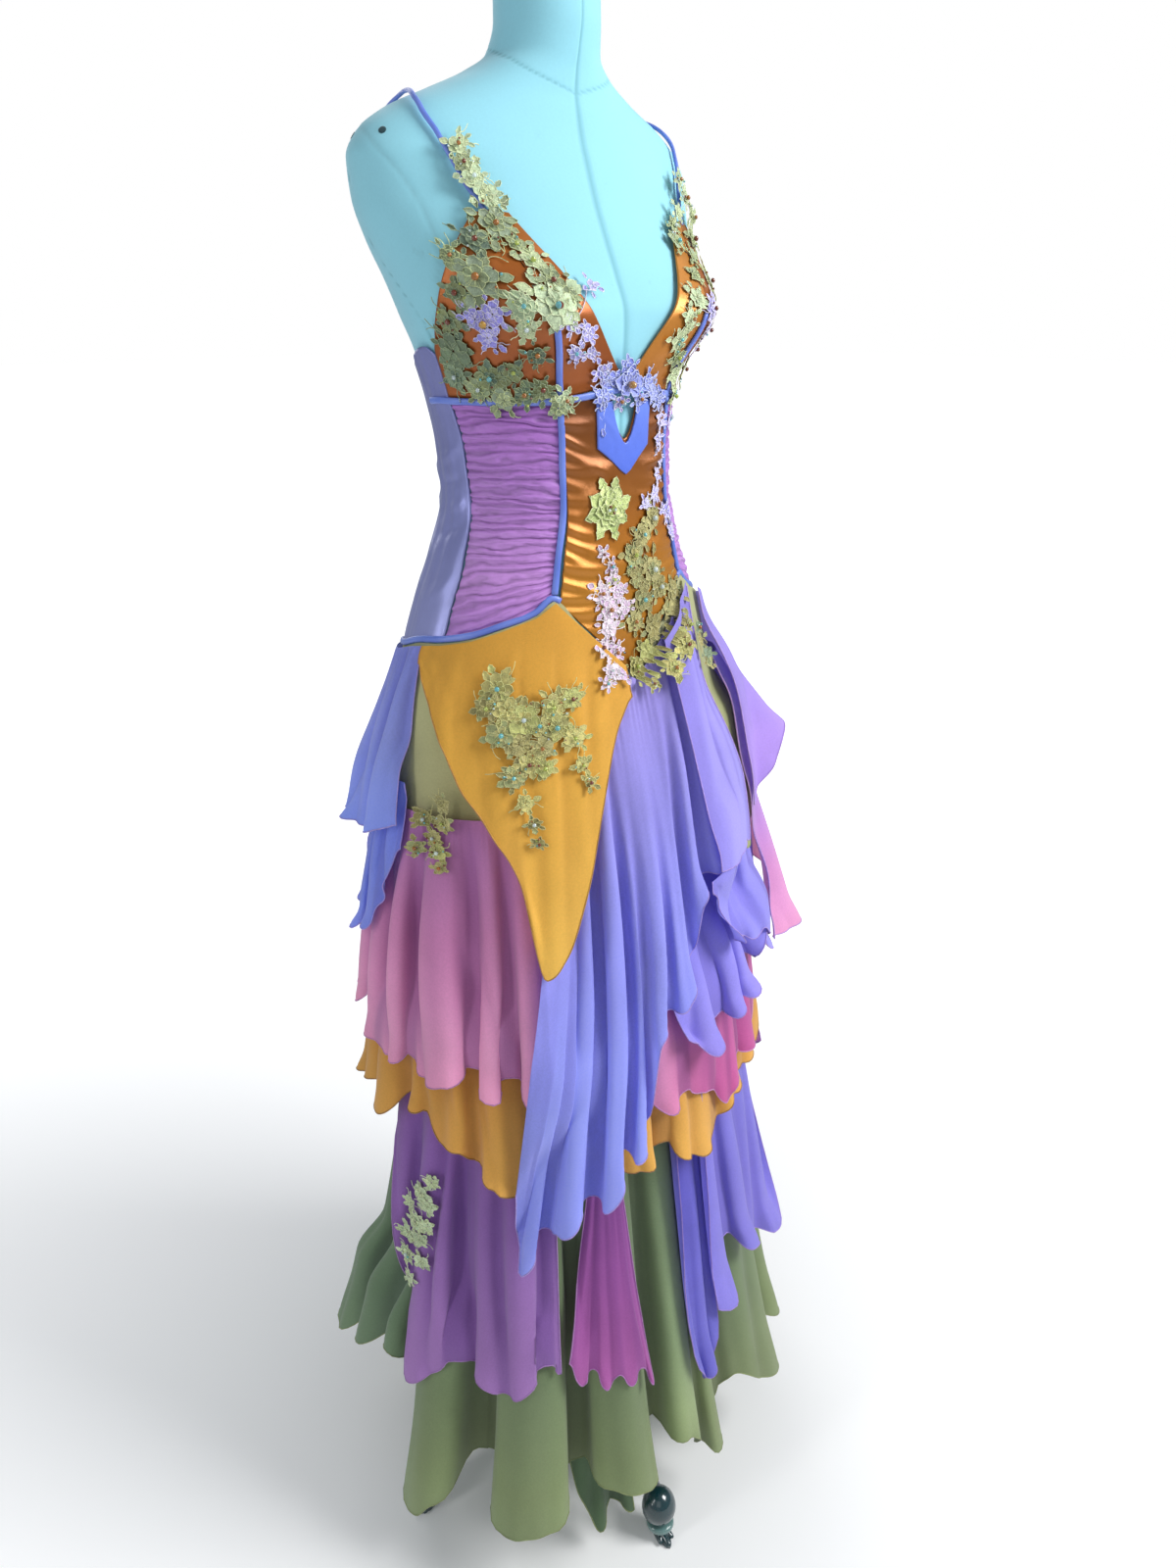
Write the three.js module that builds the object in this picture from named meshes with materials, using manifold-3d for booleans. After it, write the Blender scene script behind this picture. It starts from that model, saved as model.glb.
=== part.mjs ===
// Layered evening gown on a limbless dress form with a five-legged stand.
// Millimetres, +Z up. The front of the gown faces -Y and the wearer's right is -X.
// Every surface is written in (t, z, h): t is the angle round the body in degrees, 0 at the
// front and positive toward +X, z the height and h the distance outside the reference section.
import * as THREE from "three";
import Module from "manifold-3d";
import { mergeVertices } from "three/addons/utils/BufferGeometryUtils.js";

const wasm = await Module();
wasm.setup();

// ---------------------------------------------------------------- sizes
const SATIN = 1.8; // wall of the bodice satin
const CHIFFON = 1.4; // wall of the skirt layers
const LACE = 1.2; // wall of the lace pieces
const SEAM = 0.3; // gap between pieces at a seam
const ON_FORM = 2.6; // bodice cloth starts this far off the form
const SLACK = 4; // the cups stand this much further out than the form at the bust point
const NEST = 3.2; // least distance between two skirt layers, wall to wall
const BUST = { at: 37, z: 1374, out: 27, wide: 25, up: 52, down: 38 };

// Sections of the dress form: z, half width, depth to the front, depth to the back.
const FORM = [
  [1650, 45, 36, 54],
  [1600, 46, 37, 54],
  [1575, 51, 33, 62],
  [1560, 72, 30, 76],
  [1545, 106, 29, 90],
  [1528, 146, 32, 102],
  [1510, 172, 36, 110],
  [1490, 183, 43, 116],
  [1460, 181, 54, 121],
  [1430, 172, 67, 122],
  [1400, 159, 80, 120],
  [1373, 149, 90, 117],
  [1345, 138, 91, 110],
  [1303, 125, 88, 103],
  [1260, 117, 88, 98],
  [1215, 115, 91, 96],
  [1160, 133, 96, 102],
  [1120, 150, 100, 110],
  [1070, 166, 102, 117],
  [1020, 174, 103, 121],
  [960, 174, 103, 119],
  [880, 166, 98, 112],
];
// Sections the skirt layers are measured from, same columns.
const SKIRT = [
  [1133, 145, 99, 108],
  [1120, 150, 100, 110],
  [1070, 166, 102, 117],
  [1020, 175, 106, 123],
  [960, 181, 112, 129],
  [900, 183, 119, 133],
  [800, 184, 130, 139],
  [700, 184, 139, 145],
  [600, 185, 147, 151],
  [500, 187, 155, 158],
  [400, 191, 163, 166],
  [300, 197, 172, 175],
  [200, 204, 182, 185],
  [100, 212, 192, 195],
  [0, 220, 202, 205],
];

// ---------------------------------------------------------------- curves
const rad = (deg) => (deg * Math.PI) / 180;
const wrap = (t) => ((((t + 180) % 360) + 360) % 360) - 180;
const ease = (s) => 0.5 - 0.5 * Math.cos(Math.PI * s);

// Monotone cubic through a table of sections at height z.
function section(rows, z) {
  const up = rows[0][0] > rows[rows.length - 1][0] ? [...rows].reverse() : rows;
  const q = Math.min(Math.max(z, up[0][0]), up[up.length - 1][0]);
  let i = 0;
  while (i < up.length - 2 && q > up[i + 1][0]) i++;
  const slope = (j, c) => {
    const d = (k) => (up[k + 1][c] - up[k][c]) / (up[k + 1][0] - up[k][0]);
    if (j === 0) return d(0);
    if (j === up.length - 1) return d(up.length - 2);
    const a = d(j - 1),
      b = d(j);
    return a * b > 0 ? (2 * a * b) / (a + b) : 0;
  };
  const step = up[i + 1][0] - up[i][0],
    s = (q - up[i][0]) / step;
  return [1, 2, 3].map(
    (c) =>
      (2 * s ** 3 - 3 * s ** 2 + 1) * up[i][c] +
      (s ** 3 - 2 * s ** 2 + s) * step * slope(i, c) +
      (-2 * s ** 3 + 3 * s ** 2) * up[i + 1][c] +
      (s ** 3 - s ** 2) * step * slope(i + 1, c),
  );
}
function bust(t, z) {
  const a = Math.abs(wrap(t)) - BUST.at,
    d = z - BUST.z,
    tall = d > 0 ? BUST.up : BUST.down;
  return BUST.out * Math.exp(-((a / BUST.wide) ** 2) - (d / tall) ** 2);
}
// The point at (t, z, h) outside a table of sections.
function at(rows, t, z, h) {
  const [a, f, b] = section(rows, z),
    mid = (b - f) / 2,
    deep = (b + f) / 2,
    r = rad(t);
  const nx = Math.sin(r) / a,
    ny = -Math.cos(r) / deep,
    n = Math.hypot(nx, ny),
    full = rows === FORM ? bust(t, z) : 0,
    out = h + (h === 0 ? full * (1 - SLACK / BUST.out) : full);
  return [
    a * Math.sin(r) + (nx / n) * out,
    mid - deep * Math.cos(r) + (ny / n) * out,
    z,
  ];
}
// Value of column c of a table at t, eased between rows, or run straight with straight set.
function along(rows, t, c, straight) {
  if (t <= rows[0][0]) return rows[0][c];
  for (let i = 1; i < rows.length; i++)
    if (t <= rows[i][0]) {
      const s = (t - rows[i - 1][0]) / (rows[i][0] - rows[i - 1][0]);
      return (
        rows[i - 1][c] +
        (rows[i][c] - rows[i - 1][c]) * (straight ? s : ease(s))
      );
    }
  return rows[rows.length - 1][c];
}

// ---------------------------------------------------------------- solids
const part = new THREE.Group();
part.name = "layered_gown_on_dress_form";
const figure = new THREE.Group(); // everything, in the frame of the pole's axis
part.add(figure);
const LOOK = {
  form: 0xa9e3ee,
  stand: 0x0e3f45,
  bronze: 0xb8661e,
  orchid: 0xa868c0,
  periwinkle: 0x8e8fd6,
  piping: 0x5f78dc,
  yellow: 0xe3a63c,
  marigold: 0xc28a33,
  sage: 0x85a070,
  yoke: 0xa9b184,
  pink: 0xc77cc0,
  violet: 0x8f62b4,
  plum: 0xa4549f,
  blue: 0x8284e4,
  gold: 0xa8a95a,
  lavender: 0xa9a2e8,
  blush: 0xe6c8e0,
};
function add(name, points, faces, colour) {
  const g = new THREE.BufferGeometry();
  g.setAttribute(
    "position",
    new THREE.BufferAttribute(new Float32Array(points.flat()), 3),
  );
  g.setIndex(faces.flat());
  addGeometry(name, g, colour);
}
function addGeometry(name, g, colour) {
  g.computeVertexNormals();
  const mesh = new THREE.Mesh(
    g,
    new THREE.MeshStandardMaterial({ color: LOOK[colour], roughness: 0.7 }),
  );
  mesh.name = name;
  figure.add(mesh);
  return mesh;
}
// A wall through a grid of [t, z] stations: near(t, z, i, j) and far(t, z, i, j) give its two
// faces. The grid is a list of columns, t rising, each running from the top to the bottom edge.
function wall(name, grid, near, far, colour, closed = false) {
  const cols = grid.length,
    rows = grid[0].length,
    points = [],
    faces = [];
  const id = (i, j, side) => ((i % cols) * rows + j) * 2 + side;
  grid.forEach((column, i) =>
    column.forEach(([t, z], j) =>
      points.push(near(t, z, i, j), far(t, z, i, j)),
    ),
  );
  const quad = (a, b, c, d) => faces.push([a, b, c], [a, c, d]);
  const spans = closed ? cols : cols - 1;
  for (let i = 0; i < spans; i++)
    for (let j = 0; j < rows - 1; j++) {
      quad(id(i, j, 1), id(i, j + 1, 1), id(i + 1, j + 1, 1), id(i + 1, j, 1));
      quad(id(i, j, 0), id(i + 1, j, 0), id(i + 1, j + 1, 0), id(i, j + 1, 0));
    }
  for (let i = 0; i < spans; i++) {
    quad(id(i, 0, 0), id(i, 0, 1), id(i + 1, 0, 1), id(i + 1, 0, 0));
    const j = rows - 1;
    quad(id(i, j, 1), id(i, j, 0), id(i + 1, j, 0), id(i + 1, j, 1));
  }
  if (!closed)
    for (let j = 0; j < rows - 1; j++) {
      quad(id(0, j, 0), id(0, j + 1, 0), id(0, j + 1, 1), id(0, j, 1));
      const i = cols - 1;
      quad(id(i, j, 1), id(i, j + 1, 1), id(i, j + 1, 0), id(i, j, 0));
    }
  add(name, points, faces, colour);
}
const steps = (n) => Array.from({ length: n + 1 }, (_, k) => k / n);
const mix = (a, b, s) => a + (b - a) * s;

// ---------------------------------------------------------------- dress form
const AROUND = 44;
function formBody() {
  const heights = [
    1650, 1612, 1586, 1570, 1558, 1545, 1532, 1516, 1495, 1470, 1440, 1412,
    1386, 1360, 1334, 1303, 1270, 1240, 1215, 1190, 1165, 1140, 1105, 1060,
    1010, 950, 880,
  ];
  const points = [],
    faces = [];
  heights.forEach((z) =>
    steps(AROUND - 1).forEach((s) =>
      points.push(at(FORM, -180 + (360 * s * (AROUND - 1)) / AROUND, z, 0)),
    ),
  );
  const id = (i, j) => j * AROUND + (i % AROUND);
  for (let j = 0; j < heights.length - 1; j++)
    for (let i = 0; i < AROUND; i++)
      faces.push(
        [id(i, j), id(i, j + 1), id(i + 1, j + 1)],
        [id(i, j), id(i + 1, j + 1), id(i + 1, j)],
      );
  const top = points.push([0, 9, 1650]) - 1,
    low = points.push([0, 7, 880]) - 1,
    last = heights.length - 1;
  for (let i = 0; i < AROUND; i++)
    faces.push(
      [top, id(i, 0), id(i + 1, 0)],
      [low, id(i + 1, last), id(i, last)],
    );
  add("form_torso", points, faces, "form");
}
formBody();

function lathe(name, profile, colour, place = [0, 0, 0], sides = 24) {
  const g = new THREE.LatheGeometry(
    profile.map(([r, z]) => new THREE.Vector2(r, z)),
    sides,
  );
  g.rotateX(Math.PI / 2);
  g.translate(...place);
  addGeometry(name, g, colour);
}
lathe(
  "form_neck_cap",
  [
    [0, 1650.3],
    [41, 1650.3],
    [43, 1653],
    [40, 1658],
    [24, 1662],
    [0, 1663],
  ],
  "form",
  [0, 9, 0],
);
lathe(
  "stand_pole",
  [
    [0, 152],
    [16, 152],
    [16, 838],
    [30, 846],
    [34, 862],
    [34, 879.7],
    [0, 879.7],
  ],
  "stand",
);
lathe(
  "stand_hub",
  [
    [0, 88],
    [20, 90],
    [33, 98],
    [36, 112],
    [33, 132],
    [22, 142],
    [19, 151.7],
    [0, 151.7],
  ],
  "stand",
);

// A closed geometry as a solid that can be joined to another.
function solid(geometry) {
  const g = geometry.clone();
  g.deleteAttribute("normal");
  g.deleteAttribute("uv");
  const merged = mergeVertices(g, 1e-3);
  const tri = [];
  for (let i = 0; i < merged.index.count; i += 3) {
    const [a, b, c] = [0, 1, 2].map((k) => merged.index.getX(i + k));
    if (a !== b && b !== c && a !== c) tri.push(a, b, c);
  }
  return new wasm.Manifold(
    new wasm.Mesh({
      numProp: 3,
      vertProperties: new Float32Array(merged.attributes.position.array),
      triVerts: new Uint32Array(tri),
    }),
  );
}
function geometryOf(body) {
  const m = body.getMesh(),
    g = new THREE.BufferGeometry(),
    v = new Float32Array(m.numVert * 3);
  for (let i = 0; i < m.numVert; i++)
    v.set(m.vertProperties.subarray(i * m.numProp, i * m.numProp + 3), i * 3);
  g.setAttribute("position", new THREE.BufferAttribute(v, 3));
  g.setIndex([...m.triVerts]);
  return g;
}
// One leg with its foot, lying along +X: a falling limb, a ball, a collar and a claw.
function legGeometry() {
  // r from the pole, z, half width and half height of the limb, hub to ball
  const limb = [
    [37, 112, 10, 13],
    [80, 112, 9, 12],
    [125, 102, 9, 11],
    [170, 84, 9, 11],
    [205, 62, 10, 12],
    [232, 46, 12, 14],
  ];
  const points = [],
    faces = [],
    around = 8,
    last = limb.length - 1;
  limb.forEach(([r, z, wide, tall], j) => {
    const a = limb[Math.max(j - 1, 0)],
      b = limb[Math.min(j + 1, last)],
      run = Math.hypot(b[0] - a[0], b[1] - a[1]),
      lean = j === 0 ? 0 : (b[1] - a[1]) / run,
      rise = j === 0 ? 1 : (b[0] - a[0]) / run;
    for (let i = 0; i < around; i++) {
      const w = (2 * Math.PI * i) / around,
        v = Math.sin(w) * tall;
      points.push([r - lean * v, Math.cos(w) * wide, z + rise * v]);
    }
  });
  const id = (i, j) => j * around + (i % around);
  for (let j = 0; j < last; j++)
    for (let i = 0; i < around; i++)
      faces.push(
        [id(i, j), id(i, j + 1), id(i + 1, j + 1)],
        [id(i, j), id(i + 1, j + 1), id(i + 1, j)],
      );
  for (let i = 1; i < around - 1; i++)
    faces.push(
      [id(0, 0), id(i, 0), id(i + 1, 0)],
      [id(0, last), id(i + 1, last), id(i, last)],
    );
  const out = signedVolume(points, faces) > 0,
    tube = new THREE.BufferGeometry();
  tube.setAttribute(
    "position",
    new THREE.BufferAttribute(new Float32Array(points.flat()), 3),
  );
  tube.setIndex(faces.map(([p, q, r]) => (out ? [p, q, r] : [p, r, q])).flat());
  const ball = new THREE.SphereGeometry(21, 12, 8)
    .rotateX(Math.PI / 2)
    .scale(1, 0.98, 1.22)
    .translate(240, 0, 43);
  const collar = new THREE.CylinderGeometry(15, 17, 7, 10)
    .rotateX(Math.PI / 2)
    .rotateY(0.24)
    .translate(244, 0, 18.5);
  const knuckle = new THREE.CylinderGeometry(13, 10, 12, 8)
    .rotateX(Math.PI / 2)
    .translate(247, 0, 10);
  // the claw: a flat-soled wedge that ends in a blunt tip
  const sole = new THREE.Shape();
  sole.moveTo(236, -8);
  sole.lineTo(252, -9);
  sole.lineTo(266, -3);
  sole.lineTo(268, 0);
  sole.lineTo(266, 3);
  sole.lineTo(252, 9);
  sole.lineTo(236, 8);
  const claw = new THREE.ExtrudeGeometry(sole, {
    depth: 7,
    bevelEnabled: false,
  });
  return geometryOf(
    [ball, collar, knuckle, claw].reduce(
      (body, g) => body.add(solid(g)),
      solid(tube),
    ),
  );
}
const LEG_AT = -13.5; // the first leg's place round the pole, in t
const LEGS = 5;
const legShape = legGeometry();
for (let k = 0; k < LEGS; k++) {
  const mesh = addGeometry(`stand_leg_${k + 1}`, legShape.clone(), "stand");
  mesh.rotation.z = rad(LEG_AT + (360 / LEGS) * k - 90);
}

// ---------------------------------------------------------------- bodice
const onForm = (h) => (t, z) => at(FORM, t, z, h);
const near = onForm(ON_FORM),
  far = onForm(ON_FORM + SATIN);
const mirrored = (table) =>
  table.map(([a, b, c, d]) => [-c, d, -a, b]).map((row) => row);

// Panels as rows from the top edge to the bottom edge: left t, left z, right t, right z.
const CUP_SIDE = [
  [-43, 1447, -38, 1450],
  [-59, 1409, -35.5, 1415],
  [-70, 1380, -33.2, 1380],
  [-79, 1354, -31.6, 1354],
  [-82.8, 1339, -31, 1330],
  [-82.8, 1304.5, -30.4, 1304.5],
];
const CUP_CENTRE = [
  [-37.7, 1450, -31.5, 1448],
  [-35.2, 1415, -25.4, 1415],
  [-32.9, 1380, -18.7, 1380],
  [-31.3, 1354, -12.2, 1353],
  [-30.7, 1330, -4.5, 1327],
  [-30.1, 1304.5, -0.4, 1317],
];
const RUCHED = [
  [-82.6, 1301.5, -30.7, 1301.5],
  [-80.3, 1268, -31.2, 1268],
  [-79.3, 1226, -32, 1226],
  [-78.2, 1192, -32.9, 1192],
  [-75.6, 1151, -33.1, 1160],
  [-75.6, 1096, -33.2, 1136],
];
// The rows of a table with one more set half way between each two.
function finer(table) {
  return table.flatMap((row, i) =>
    i ? [row.map((v, c) => (v + table[i - 1][c]) / 2), row] : [row],
  );
}
// The seam between bodice and skirt: t, z. It rises to a corner on the princess line and
// falls to a point at the centre front.
const HIP = [
  [-180, 1062],
  [-150, 1066],
  [-128, 1072],
  [-107, 1079],
  [-90, 1090],
  [-76, 1094],
  [-63, 1100],
  [-52, 1109],
  [-39, 1121],
  [-32.6, 1133],
  [-22.5, 1110],
  [-13.7, 1089],
  [0, 1052],
  [13.7, 1089],
  [22.5, 1110],
  [32.6, 1133],
  [39, 1121],
  [52, 1109],
  [63, 1100],
  [76, 1094],
  [90, 1090],
  [107, 1079],
  [128, 1072],
  [150, 1066],
  [180, 1062],
];
const hip = (t) => along(HIP, wrap(t), 1, true);

// Panels as rows; one that ends on the hip seam takes its last row from that seam.
function rowPanel(name, table, across, colour, onHip = false) {
  const grid = steps(across).map((s) =>
    table.map(([tl, zl, tr, zr], row) => {
      const t = mix(tl, tr, s);
      return [
        t,
        onHip && row === table.length - 1 ? hip(t) + SEAM : mix(zl, zr, s),
      ];
    }),
  );
  wall(name, grid, near, far, colour);
}
for (const [side, flip] of [
  ["R", (t) => t],
  ["L", mirrored],
]) {
  rowPanel(`bodice_cup_side_${side}`, flip(finer(CUP_SIDE)), 6, "bronze");
  rowPanel(`bodice_cup_centre_${side}`, flip(finer(CUP_CENTRE)), 3, "bronze");
  rowPanel(`bodice_ruched_${side}`, flip(RUCHED), 6, "orchid", true);
}

// Panels as columns: t, top z, and a bottom z that defaults to the hip seam.
function columnPanel(name, table, down, colour, a = near, b = far) {
  const grid = table.map(([t, top, bottom]) =>
    steps(down).map((s) => [t, mix(top, bottom ?? hip(t) + SEAM, s)]),
  );
  wall(name, grid, a, b, colour);
}
const flipped = (table) => table.map(([t, ...rest]) => [-t, ...rest]).reverse();
const SIDE_BACK = [
  [-127.8, 1316],
  [-117, 1326],
  [-107, 1336],
  [-98, 1343],
  [-90, 1346],
  [-83.8, 1340],
];
const BACK = [
  [-179.8, 1288],
  [-168, 1292],
  [-155, 1300],
  [-142, 1308],
  [-128.3, 1316],
];
// The side-back panel narrows to the ruched panel below the underbust line.
function sidePanel(name, sign) {
  const edge = [
      [1094, -76.4],
      [1151, -76.6],
      [1192, -79.1],
      [1226, -80.1],
      [1268, -81.3],
      [1301.5, -83.4],
      [1340, -83.6],
    ],
    table = sign < 0 ? SIDE_BACK : flipped(SIDE_BACK);
  const grid = table.map(([t, top]) =>
    steps(8).map((s) => {
      const share = (127.8 - Math.abs(t)) / (127.8 - 83.8),
        z = mix(top, hip(mix(127.8, 76.4, share)) + 1, s),
        front = -along(edge, z, 1, true);
      return [sign * mix(127.8, front, share), z];
    }),
  );
  wall(name, grid, near, far, "periwinkle");
}
sidePanel("bodice_side_R", -1);
sidePanel("bodice_side_L", 1);
columnPanel("bodice_back_R", BACK, 7, "periwinkle");
columnPanel("bodice_back_L", flipped(BACK), 7, "periwinkle");

// Centre front with the open keyhole notched into its top edge: t, top z.
const FRONT = [
  [-30.4, 1301.5],
  [-22.5, 1302],
  [-13.7, 1304],
  [-6.5, 1304],
  [0, 1268],
  [6.5, 1304],
  [13.7, 1304],
  [22.5, 1302],
  [30.4, 1301.5],
];
columnPanel("bodice_centre_front", FRONT, 7, "bronze");
// The pointed tab round the keyhole lies on the centre front: t, top z, bottom z.
const TAB = [
  [-14.6, 1300, 1261],
  [-7.6, 1301, 1250],
  [0, 1262, 1238],
  [7.6, 1301, 1250],
  [14.6, 1300, 1261],
];
const ON_PANEL = ON_FORM + SATIN + SEAM;
columnPanel(
  "bodice_keyhole_tab",
  TAB,
  3,
  "piping",
  onForm(ON_PANEL + 1),
  onForm(ON_PANEL + 1 + SATIN),
);

// ---------------------------------------------------------------- piping and straps
// Point and outward normal of the dressed form at (t, z).
function footing(t, z) {
  const p = at(FORM, t, z, 0.001),
    e = [
      [t + 0.6, z],
      [t - 0.6, z],
      [t, z + 0.6],
      [t, z - 0.6],
    ].map(([u, w]) => new THREE.Vector3(...at(FORM, u, w, 0.001)));
  const normal = e[0]
    .sub(e[1])
    .cross(e[2].sub(e[3]))
    .normalize();
  return [new THREE.Vector3(...p), normal];
}
// A four-sided cord along (t, z) stations, flat on the panels: wide across, tall outward.
function cord(name, path, colour, lift = ON_PANEL + 1.2, wide = 4.4, tall = 2.6) {
  const stations = path.map(([t, z]) => footing(t, z)),
    points = [],
    faces = [];
  stations.forEach(([p, normal], i) => {
    const a = stations[Math.max(i - 1, 0)][0],
      b = stations[Math.min(i + 1, stations.length - 1)][0],
      side = b.clone().sub(a).normalize().cross(normal).normalize();
    for (const [across, out] of [
      [wide / 2, lift],
      [wide * 0.36, lift + tall],
      [-wide * 0.36, lift + tall],
      [-wide / 2, lift],
    ])
      points.push(
        p
          .clone()
          .addScaledVector(side, across)
          .addScaledVector(normal, out)
          .toArray(),
      );
  });
  for (let i = 0; i < stations.length - 1; i++)
    for (let k = 0; k < 4; k++) {
      const a = i * 4 + k,
        b = i * 4 + ((k + 1) % 4);
      faces.push([a, b, b + 4], [a, b + 4, a + 4]);
    }
  const e = (stations.length - 1) * 4;
  faces.push([0, 3, 2], [0, 2, 1], [e, e + 1, e + 2], [e, e + 2, e + 3]);
  const right = signedVolume(points, faces) > 0;
  add(name, points, right ? faces : faces.map(([a, b, c]) => [a, c, b]), colour);
}
function signedVolume(points, faces) {
  return faces.reduce((sum, [a, b, c]) => {
    const [p, q, r] = [points[a], points[b], points[c]];
    return (
      sum +
      (p[0] * (q[1] * r[2] - q[2] * r[1]) -
        p[1] * (q[0] * r[2] - q[2] * r[0]) +
        p[2] * (q[0] * r[1] - q[1] * r[0])) /
        6
    );
  }, 0);
}
const UNDERBUST = [
  [-98, 1302],
  [-90, 1303],
  [-80, 1303],
  [-70, 1303],
  [-60, 1303],
  [-50, 1303],
  [-40, 1303],
  [-30, 1303.4],
  [-20, 1306],
  [-9, 1309.5],
];
cord(
  "piping_underbust",
  [...UNDERBUST, [0, 1310.5], ...flipped(UNDERBUST)],
  "piping",
);
const ABOVE = 3.2; // a cord stops this far from the one it meets
const CUP_SEAM = [
  [-32, 1368],
  [-31.2, 1354],
  [-30.6, 1330],
  [-30.2, 1303.4 + ABOVE],
];
const PRINCESS = [
  [-30.6, 1303 - ABOVE],
  [-30.9, 1278],
  [-31.6, 1245],
  [-32.5, 1202],
  [-33, 1165],
  [-32.8, 1141],
];
const HIP_CORD = [
  [-30.4, 1130],
  [-33.4, 1133],
  [-39, 1122],
  [-52, 1110],
  [-63, 1101],
  [-76, 1095],
  [-90, 1090.6],
  [-107, 1080],
  [-120, 1075],
];
for (const [side, flip] of [
  ["R", (p) => p],
  ["L", (p) => p.map(([t, z]) => [-t, z])],
]) {
  cord(`piping_cup_${side}`, flip(finer(CUP_SEAM)), "piping", ON_PANEL + 2.2);
  cord(`piping_princess_${side}`, flip(PRINCESS), "piping");
  cord(`piping_hip_${side}`, flip(HIP_CORD), "piping");
}
// Rouleau shoulder straps, from the cup apex over the shoulder to the back: t, z.
const STRAP = [
  [-38.5, 1454],
  [-41.5, 1465],
  [-43.7, 1481],
  [-45.8, 1493],
  [-49.8, 1505],
  [-60.8, 1521],
  [-78, 1533],
  [-96.4, 1537],
  [-115, 1534],
  [-128, 1522],
  [-137, 1500],
  [-142, 1465],
  [-145, 1420],
  [-147, 1370],
  [-147, 1320],
];
for (const [side, flip] of [
  ["R", (p) => p],
  ["L", (p) => p.map(([t, z]) => [-t, z])],
])
  cord(`strap_${side}`, flip(STRAP), "piping", 1.8, 7, 4.6);

// ---------------------------------------------------------------- skirt
// Columns every layer shares, so that one layer's facets run parallel to the next: every
// 5 degrees over the front and the right side, wider apart over the back.
const COLUMNS = [];
for (let t = -125; t <= 50; t += 5) COLUMNS.push(t);
const WIDE = 185 / 15;
for (let k = 1; k < 15; k++) COLUMNS.push(50 + k * WIDE);
const allColumns = [-360, 0, 360]
  .flatMap((turn) => COLUMNS.map((t) => t + turn))
  .sort((a, b) => a - b);

// Each layer: top edge (t, z), hem (t, z, out) with out the reach of the cloth past the
// reference section at the hem, lift its reach at the top edge, grow the way a fold opens
// between them (1 is a cone), rows of facets. A layer with from and to is one open panel,
// the others go all the way round. Listed from the inside out.
const ROUND_FOLDS = [
  [58, 0, -16],
  [68, 1, 12],
  [80, 0, -16],
  [92, 1, 12],
  [104, 0, -14],
  [116, 1, 14],
  [128, 0, -16],
  [140, 1, 12],
  [152, 0, -14],
  [164, 1, 12],
  [176, 0, -16],
  [188, 1, 12],
  [200, 0, -14],
  [212, 1, 14],
  [224, 0, -14],
];
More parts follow.
